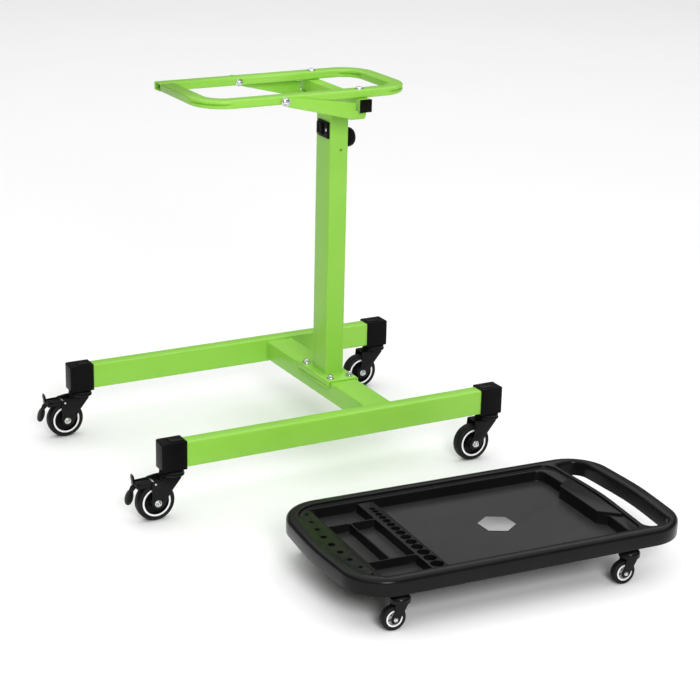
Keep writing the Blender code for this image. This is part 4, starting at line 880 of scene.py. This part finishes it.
def brake(name, body, place):
    """The pressed brake channel over the wheel, with its lift tab and ribbed toe pad."""
    size = STAND_CASTER
    x = -size["trail"] - 0.0045
    z = 2 * size["radius"] + 0.0013
    half = size["side"] - 0.0003
    end = -0.036
    front = -x - CHANNEL_FRONT
    corners = [(front, 0.0052, 0.001), (end, 0.0032, 0.003), (end, -0.0062, 0.0025),
               (-0.0060, -0.0050, 0.004), (front, -0.0040, 0.002)]
    channel = slab(corners, -half, half, True)
    wall = half - CHANNEL_SHEET
    channel = combine(channel, [block((end + 0.002, -wall, -0.02), (0.03, wall, -0.0008)),
                                block((end + 0.002, -wall, 0.0008), (0.03, wall, 0.02))])
    soften(channel, 0.0004, 2, 55.0)
    lift = slab([(end, -0.0040, 0.0), (end + 0.003, -0.0040, 0.0), (end + 0.002, 0.0120, 0.002),
                 (end - 0.001, 0.0195, 0.0008), (end - 0.0025, 0.0120, 0.002)], 0.002, 0.0125, True)
    soften(lift, 0.0006, 2, 55.0)
    ear = slab([(end + 0.001, 0.0010, 0.0), (end + 0.010, 0.0022, 0.0), (end + 0.008, 0.0075, 0.002),
                (end - 0.002, 0.0105, 0.0008)], -half, -half + CHANNEL_SHEET, True)
    ribs = [rod(TOE_RADIUS, -TOE_HALF, TOE_HALF, segments=44, chamfer=0.0011)]
    for i in range(-2, 3):
        reach = math.sqrt(TOE_RIB_REACH ** 2 - (TOE_RIB_PITCH * i) ** 2)
        rib = block((-0.0011, -reach, -0.0012), (0.0011, reach, 0.0012), 0.0006, 2)
        ribs.append(shift(rib, (TOE_RIB_PITCH * i, 0.0, TOE_HALF)))
    lean = Matrix.Rotation(math.radians(TOE_LEAN - 90), 4, "Y")
    toe = shift(gather(*ribs), Matrix.Translation((end - 0.0100, 0.0, -0.0240)) @ lean)
    arm = slab([(end + 0.001, -0.0020, 0.0), (end + 0.001, -0.0062, 0.0), (end - 0.0050, -0.0125, 0.002),
                (end - 0.0078, -0.0115, 0.0), (end - 0.0040, -0.0035, 0.003)], -0.006, 0.006, True)
    rivet = shift(rod(0.0022, -half - 0.0042, half + 0.0042, chamfer=0.0005), Y_FROM_Z)
    shape = gather(channel, lift, ear, arm, toe)
    spot = place @ Matrix.Translation((x, 0.0, z))
    finished(name + "_brake_pedal", shape, STEEL, body, spot, [name + "_brake"])
    finished(name + "_brake_rivet", rivet, ZINC, body, spot)


def casters():
    for kind, size, turn in (("stand", STAND_CASTER, Matrix()), ("tray", TRAY_CASTER, TRAY_TURN)):
        for corner in ("left_near", "left_far", "right_near", "right_far"):
            short = "%s_%s" % (kind, corner)
            name = "%s_caster_%s" % (kind, corner)
            place = Matrix.Translation(JOINTS[short + "_swivel"]["pos_m"]) @ turn
            braked = kind == "stand" and corner.startswith("left")
            fork(name, size, short + "_fork", place, braked)
            axle_bolt(name, size, short + "_fork", place)
            wheel(name, size, short + "_wheel", place, HUB_DISH_PAINTED_REFLECTION if kind == "tray" else HUB_BLACK)
            if braked:
                brake(name, short + "_brake", place)


# ---- tray --------------------------------------------------------------------------------
def tray_edge(inset=0.0):
    half = TRAY_HALF - inset
    left = TRAY_LEFT + inset
    right = TRAY_RIGHT - inset
    corner = TRAY_CORNER - inset
    return [(left - TRAY_BOW, 0.0, 0.6), (left, -half, corner), (right, -half, corner),
            (right + TRAY_BOW, 0.0, 0.6), (right, half, corner), (left, half, corner)]


def opening_edge(grow=0.0):
    left = BODY_RIGHT - grow
    right = BODY_RIGHT + OPENING + grow
    half = OPENING_HALF + grow
    tight = OPENING * 0.25 + grow
    wide = OPENING * 0.50 + grow
    return [(left + OPENING_BOW, 0.0, 0.5), (left - OPENING_BOW, -half, tight),
            (right - TRAY_BOW, -half, wide), (right, 0.0, 0.6), (right - TRAY_BOW, half, wide),
            (left - OPENING_BOW, half, tight)]


def ledge_edge():
    left = TRAY_LEFT + BEAD
    half = TRAY_HALF - BEAD
    right = BODY_RIGHT - OPENING_BOW - OPENING_RIM
    corner = TRAY_CORNER - BEAD
    return [(left - TRAY_BOW, 0.0, 0.6), (left, -half, corner), (right, -half, 0.020),
            (right + 2 * OPENING_BOW, 0.0, 0.5), (right, half, 0.024), (left, half, corner)]


def basin_edge(grow):
    half = BASIN_HALF + grow
    left = BASIN_LEFT - grow
    right = BASIN_RIGHT + grow
    return [(left, -half, 0.012 + grow), (right, -half, 0.008 + grow),
            (BASIN_RIGHT + TRAY_BOW + grow, 0.0, 0.5), (right, half, 0.018 + grow),
            (left, half, 0.018 + grow)]


def pocket(x0, y0, x1, y1, corner=0.004):
    edge = [(x0, y0, corner), (x1, y0, corner), (x1, y1, corner), (x0, y1, corner)]
    return slab(edge, TRAY_TOP - BASIN_DROP, TRAY_TOP + OVERSHOOT, steps=5)


def driver_spots():
    """(x, y, radius) of the screwdriver holes in the left ledge."""
    reach = TRAY_HALF - 0.047
    spots = []
    for i in range(DRIVERS):
        y = reach * (1 - i / 4)
        share = abs(y) / reach
        spots.append(((TRAY_LEFT + BASIN_LEFT) / 2 + TRAY_BOW * share ** 2, y, 0.0065 - 0.0030 * share))
    return spots


def tray_holes():
    """Screwdriver holes in the left ledge and graded socket holes along the rail."""
    holes = [rod(radius, TRAY_BOTTOM - OVERSHOOT, TRAY_TOP + OVERSHOOT, (x, y), 28)
             for x, y, radius in driver_spots()]
    y = BASIN_HALF - 0.026
    size = SOCKET_FIRST
    x = (RAIL_LEFT + RAIL_RIGHT) / 2
    top = TRAY_TOP - DIVIDER_DROP
    while y - size > -BASIN_HALF + 0.007:
        holes.append(rod(size / 2, top - 0.014, top + 0.02, (x, y - size / 2), 32))
        y -= size + SOCKET_GAP
        size += SOCKET_GROW
    return holes


def tray_shell():
    """The moulded tray: bead, ledge, basin, compartments, block and handle, hollow under its rim."""
    shell = slab(tray_edge(), TRAY_BOTTOM, TRAY_TOP, steps=16)
    soften(shell, 0.0085, 6, 50.0, at_level(TRAY_TOP))
    shell = combine(shell, [slab(opening_edge(), TRAY_BOTTOM - OVERSHOOT, TRAY_TOP + OVERSHOOT, steps=10)])
    soften(shell, 0.0065, 6, 50.0, at_level(TRAY_TOP))
    ledge = TRAY_TOP - LEDGE_DROP
    shell = combine(shell, [slab(ledge_edge(), ledge, TRAY_TOP + OVERSHOOT, steps=12)])
    soften(shell, 0.0024, 4, 50.0, at_level(TRAY_TOP))
    wall = DIVIDER / 2
    half = BASIN_HALF
    basin = [(RAIL_RIGHT, -half, 0.004), (BASIN_RIGHT, -half, 0.008),
             (BASIN_RIGHT + 0.004, -BLOCK_HALF - BLOCK_FLARE, 0.0), (BLOCK_LEFT, -BLOCK_HALF, 0.004),
             (BLOCK_LEFT, BLOCK_HALF, 0.004), (BASIN_RIGHT + 0.004, BLOCK_HALF + BLOCK_FLARE, 0.0),
             (BASIN_RIGHT, half, 0.018), (RAIL_RIGHT, half, 0.004)]
    level = [(BASIN_LEFT + 0.0001, -half + 0.0001, 0.004), (RAIL_RIGHT + 0.02, -half + 0.0001, 0.0),
             (RAIL_RIGHT + 0.02, half - 0.0001, 0.0), (BASIN_LEFT + 0.0001, half - 0.0001, 0.004)]
    tools = [slab(basin, TRAY_TOP - BASIN_DROP, TRAY_TOP + OVERSHOOT, steps=8),
             slab(level, TRAY_TOP - DIVIDER_DROP, TRAY_TOP + OVERSHOOT, steps=5),
             pocket(BASIN_LEFT, DIVIDER_FAR + wall, RAIL_LEFT, half),
             pocket(BASIN_LEFT, DIVIDER_NEAR + wall, DIVIDER_X - wall, DIVIDER_FAR - wall),
             pocket(DIVIDER_X + wall, DIVIDER_NEAR + wall, RAIL_LEFT, DIVIDER_FAR - wall),
             pocket(BASIN_LEFT, -half, RAIL_LEFT, DIVIDER_NEAR - wall)]
    shell = combine(shell, tools)
    soften(shell, 0.0030, 4, 50.0, at_level(ledge))
    soften(shell, 0.0008, 3, 50.0, at_level(TRAY_TOP - DIVIDER_DROP))
    soften(shell, 0.0030, 4, 50.0, at_level(TRAY_TOP - BASIN_DROP))
    edge = BODY_RIGHT - OPENING_BOW - OPENING_RIM + 0.003
    pad = [(BLOCK_LEFT, -BLOCK_HALF, 0.004), (edge, -BLOCK_HALF - BLOCK_FLARE * 2, 0.0),
           (edge, BLOCK_HALF + BLOCK_FLARE * 2, 0.0), (BLOCK_LEFT, BLOCK_HALF, 0.004)]
    top = TRAY_TOP - 0.0015
    pad = slab(pad, TRAY_TOP - BASIN_DROP - 0.001, top, steps=8)
    soften(pad, 0.0016, 4, 50.0, at_level(top))
    shell = combine(shell, [pad], "UNION")
    shell = combine(shell, tray_holes())
    groove = slab(tray_edge(SHELL_WALL), TRAY_BOTTOM - OVERSHOOT, ledge - SHELL_WALL, steps=16)
    linings = [slab(basin_edge(SHELL_WALL), TRAY_BOTTOM - 2 * OVERSHOOT, TRAY_TOP, steps=8),
               slab(opening_edge(SHELL_WALL), TRAY_BOTTOM - 2 * OVERSHOOT, TRAY_TOP, steps=10)]
    back = TRAY.inverted()
    for stem in TRAY_STEMS:
        spot = back @ Vector((stem.x, stem.y, 0.0))
        linings.append(rod(BOSS, TRAY_BOTTOM - 2 * OVERSHOOT, TRAY_TOP, (spot.x, spot.y), 32))
    for x, y, radius in driver_spots():
        linings.append(rod(radius + 0.002, TRAY_BOTTOM - 2 * OVERSHOOT, TRAY_TOP, (x, y), 28))
    shell = combine(shell, [combine(groove, linings)])
    soften(shell, 0.0009, 2, 60.0, at_level(TRAY_BOTTOM))
    # up-facing basin floor faces get the lighter second material: painted reflection of the overhead light,
    # over the floor's real coarser grain
    for facet in shell.faces:
        if facet.normal.z > 0.9 and abs(facet.calc_center_median().z - TRAY_TOP + BASIN_DROP) < 0.0004:
            facet.material_index = 1
    finished("tray_moulding", shell, [TRAY_BLACK, TRAY_FLOOR_GRAIN_AND_PAINTED_REFLECTION], "tray", TRAY, ["tray_shell"], 35.0)


def badge():
    low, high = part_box("tray_badge")
    work = bmesh.new()
    bmesh.ops.create_cone(work, cap_ends=True, segments=6, radius1=PLATE_RADIUS, radius2=PLATE_RADIUS,
                          depth=high.z - low.z)
    soften(work, 0.0004, 2, 80.0)
    spot = Matrix.Translation(((low.x + high.x) / 2, (low.y + high.y) / 2, (low.z + high.z) / 2))
    turn = TRAY_TURN @ Matrix.Rotation(math.radians(5.0), 4, "Z")
    finished("blank_plate", work, PLATE_GREY, "tray", spot @ turn, ["tray_badge"])


# ---- floor, light and camera -------------------------------------------------------------
FLOOR_HALF = 30.0
EYE_LENS = 98.87        # mm
EYE_LEFT = 1.6530       # from the stand's middle
EYE_NEAR = 3.2646
EYE_HIGH = 1.46435
EYE_TURN = -28.997      # degrees, as the two below
EYE_DOWN = 18.983
EYE_ROLL = 1.360


def floor():
    work = bmesh.new()
    bmesh.ops.create_grid(work, x_segments=2, y_segments=2, size=FLOOR_HALF)
    mesh = bpy.data.meshes.new("floor")
    work.to_mesh(mesh)
    work.free()
    pale = Finish("floor_pale", Roughness=0.85)
    pale.feed("Base Color", pale.mix(pale.noise(3.0, 2.0), shade(0.90, 0.90, 0.90), shade(0.92, 0.92, 0.92)))
    mesh.materials.append(pale.material)
    ground = placed("floor", mesh)


def lamp(name, place, size, power, aim=(0.0, 0.0, 0.35)):
    light = bpy.data.lights.new(name, "AREA")
    light.shape = "RECTANGLE"
    light.size, light.size_y = size
    light.energy = power
    holder = placed(name, light)
    holder.location = place
    holder.rotation_euler = (Vector(aim) - Vector(place)).to_track_quat("-Z", "Y").to_euler()


def studio():
    world = bpy.data.worlds.new("studio")
    world.use_nodes = True
    backdrop = world.node_tree.nodes["Background"]
    backdrop.inputs["Color"].default_value = shade(1.0, 1.0, 1.0)
    backdrop.inputs["Strength"].default_value = 0.12
    bpy.context.scene.world = world
    bpy.context.scene.view_settings.view_transform = "Standard"
    lamp("overhead", (1.0, 2.2, 6.0), (15.0, 14.0), 930.0, (1.0, 2.2, 0.0))
    lamp("key", (-0.9, -3.6, 2.2), (1.4, 1.4), 108.0)


def camera():
    eye = bpy.data.cameras.new("camera")
    eye.sensor_width = 36.0
    eye.lens = EYE_LENS
    eye.clip_end = 100.0
    holder = placed("camera", eye)
    place = Matrix.Translation((STAND_X - EYE_LEFT, STAND_Y - EYE_NEAR, EYE_HIGH))
    turn = (Matrix.Rotation(math.radians(EYE_TURN), 4, "Z")
            @ Matrix.Rotation(math.radians(90.0 - EYE_DOWN), 4, "X")
            @ Matrix.Rotation(math.radians(EYE_ROLL), 4, "Z"))
    holder.matrix_world = place @ turn
    bpy.context.scene.camera = holder


legs_and_bar()
for name, y, end in (("left_near", -LEG_Y, -1), ("left_far", LEG_Y, -1), ("right_near", -LEG_Y, 1),
                     ("right_far", LEG_Y, 1)):
    leg_cap(name, y, end)
saddle_and_column()
cover_plate()
knob()
mast()
support()
ring()
casters()
tray_shell()
badge()
floor()
studio()
camera()
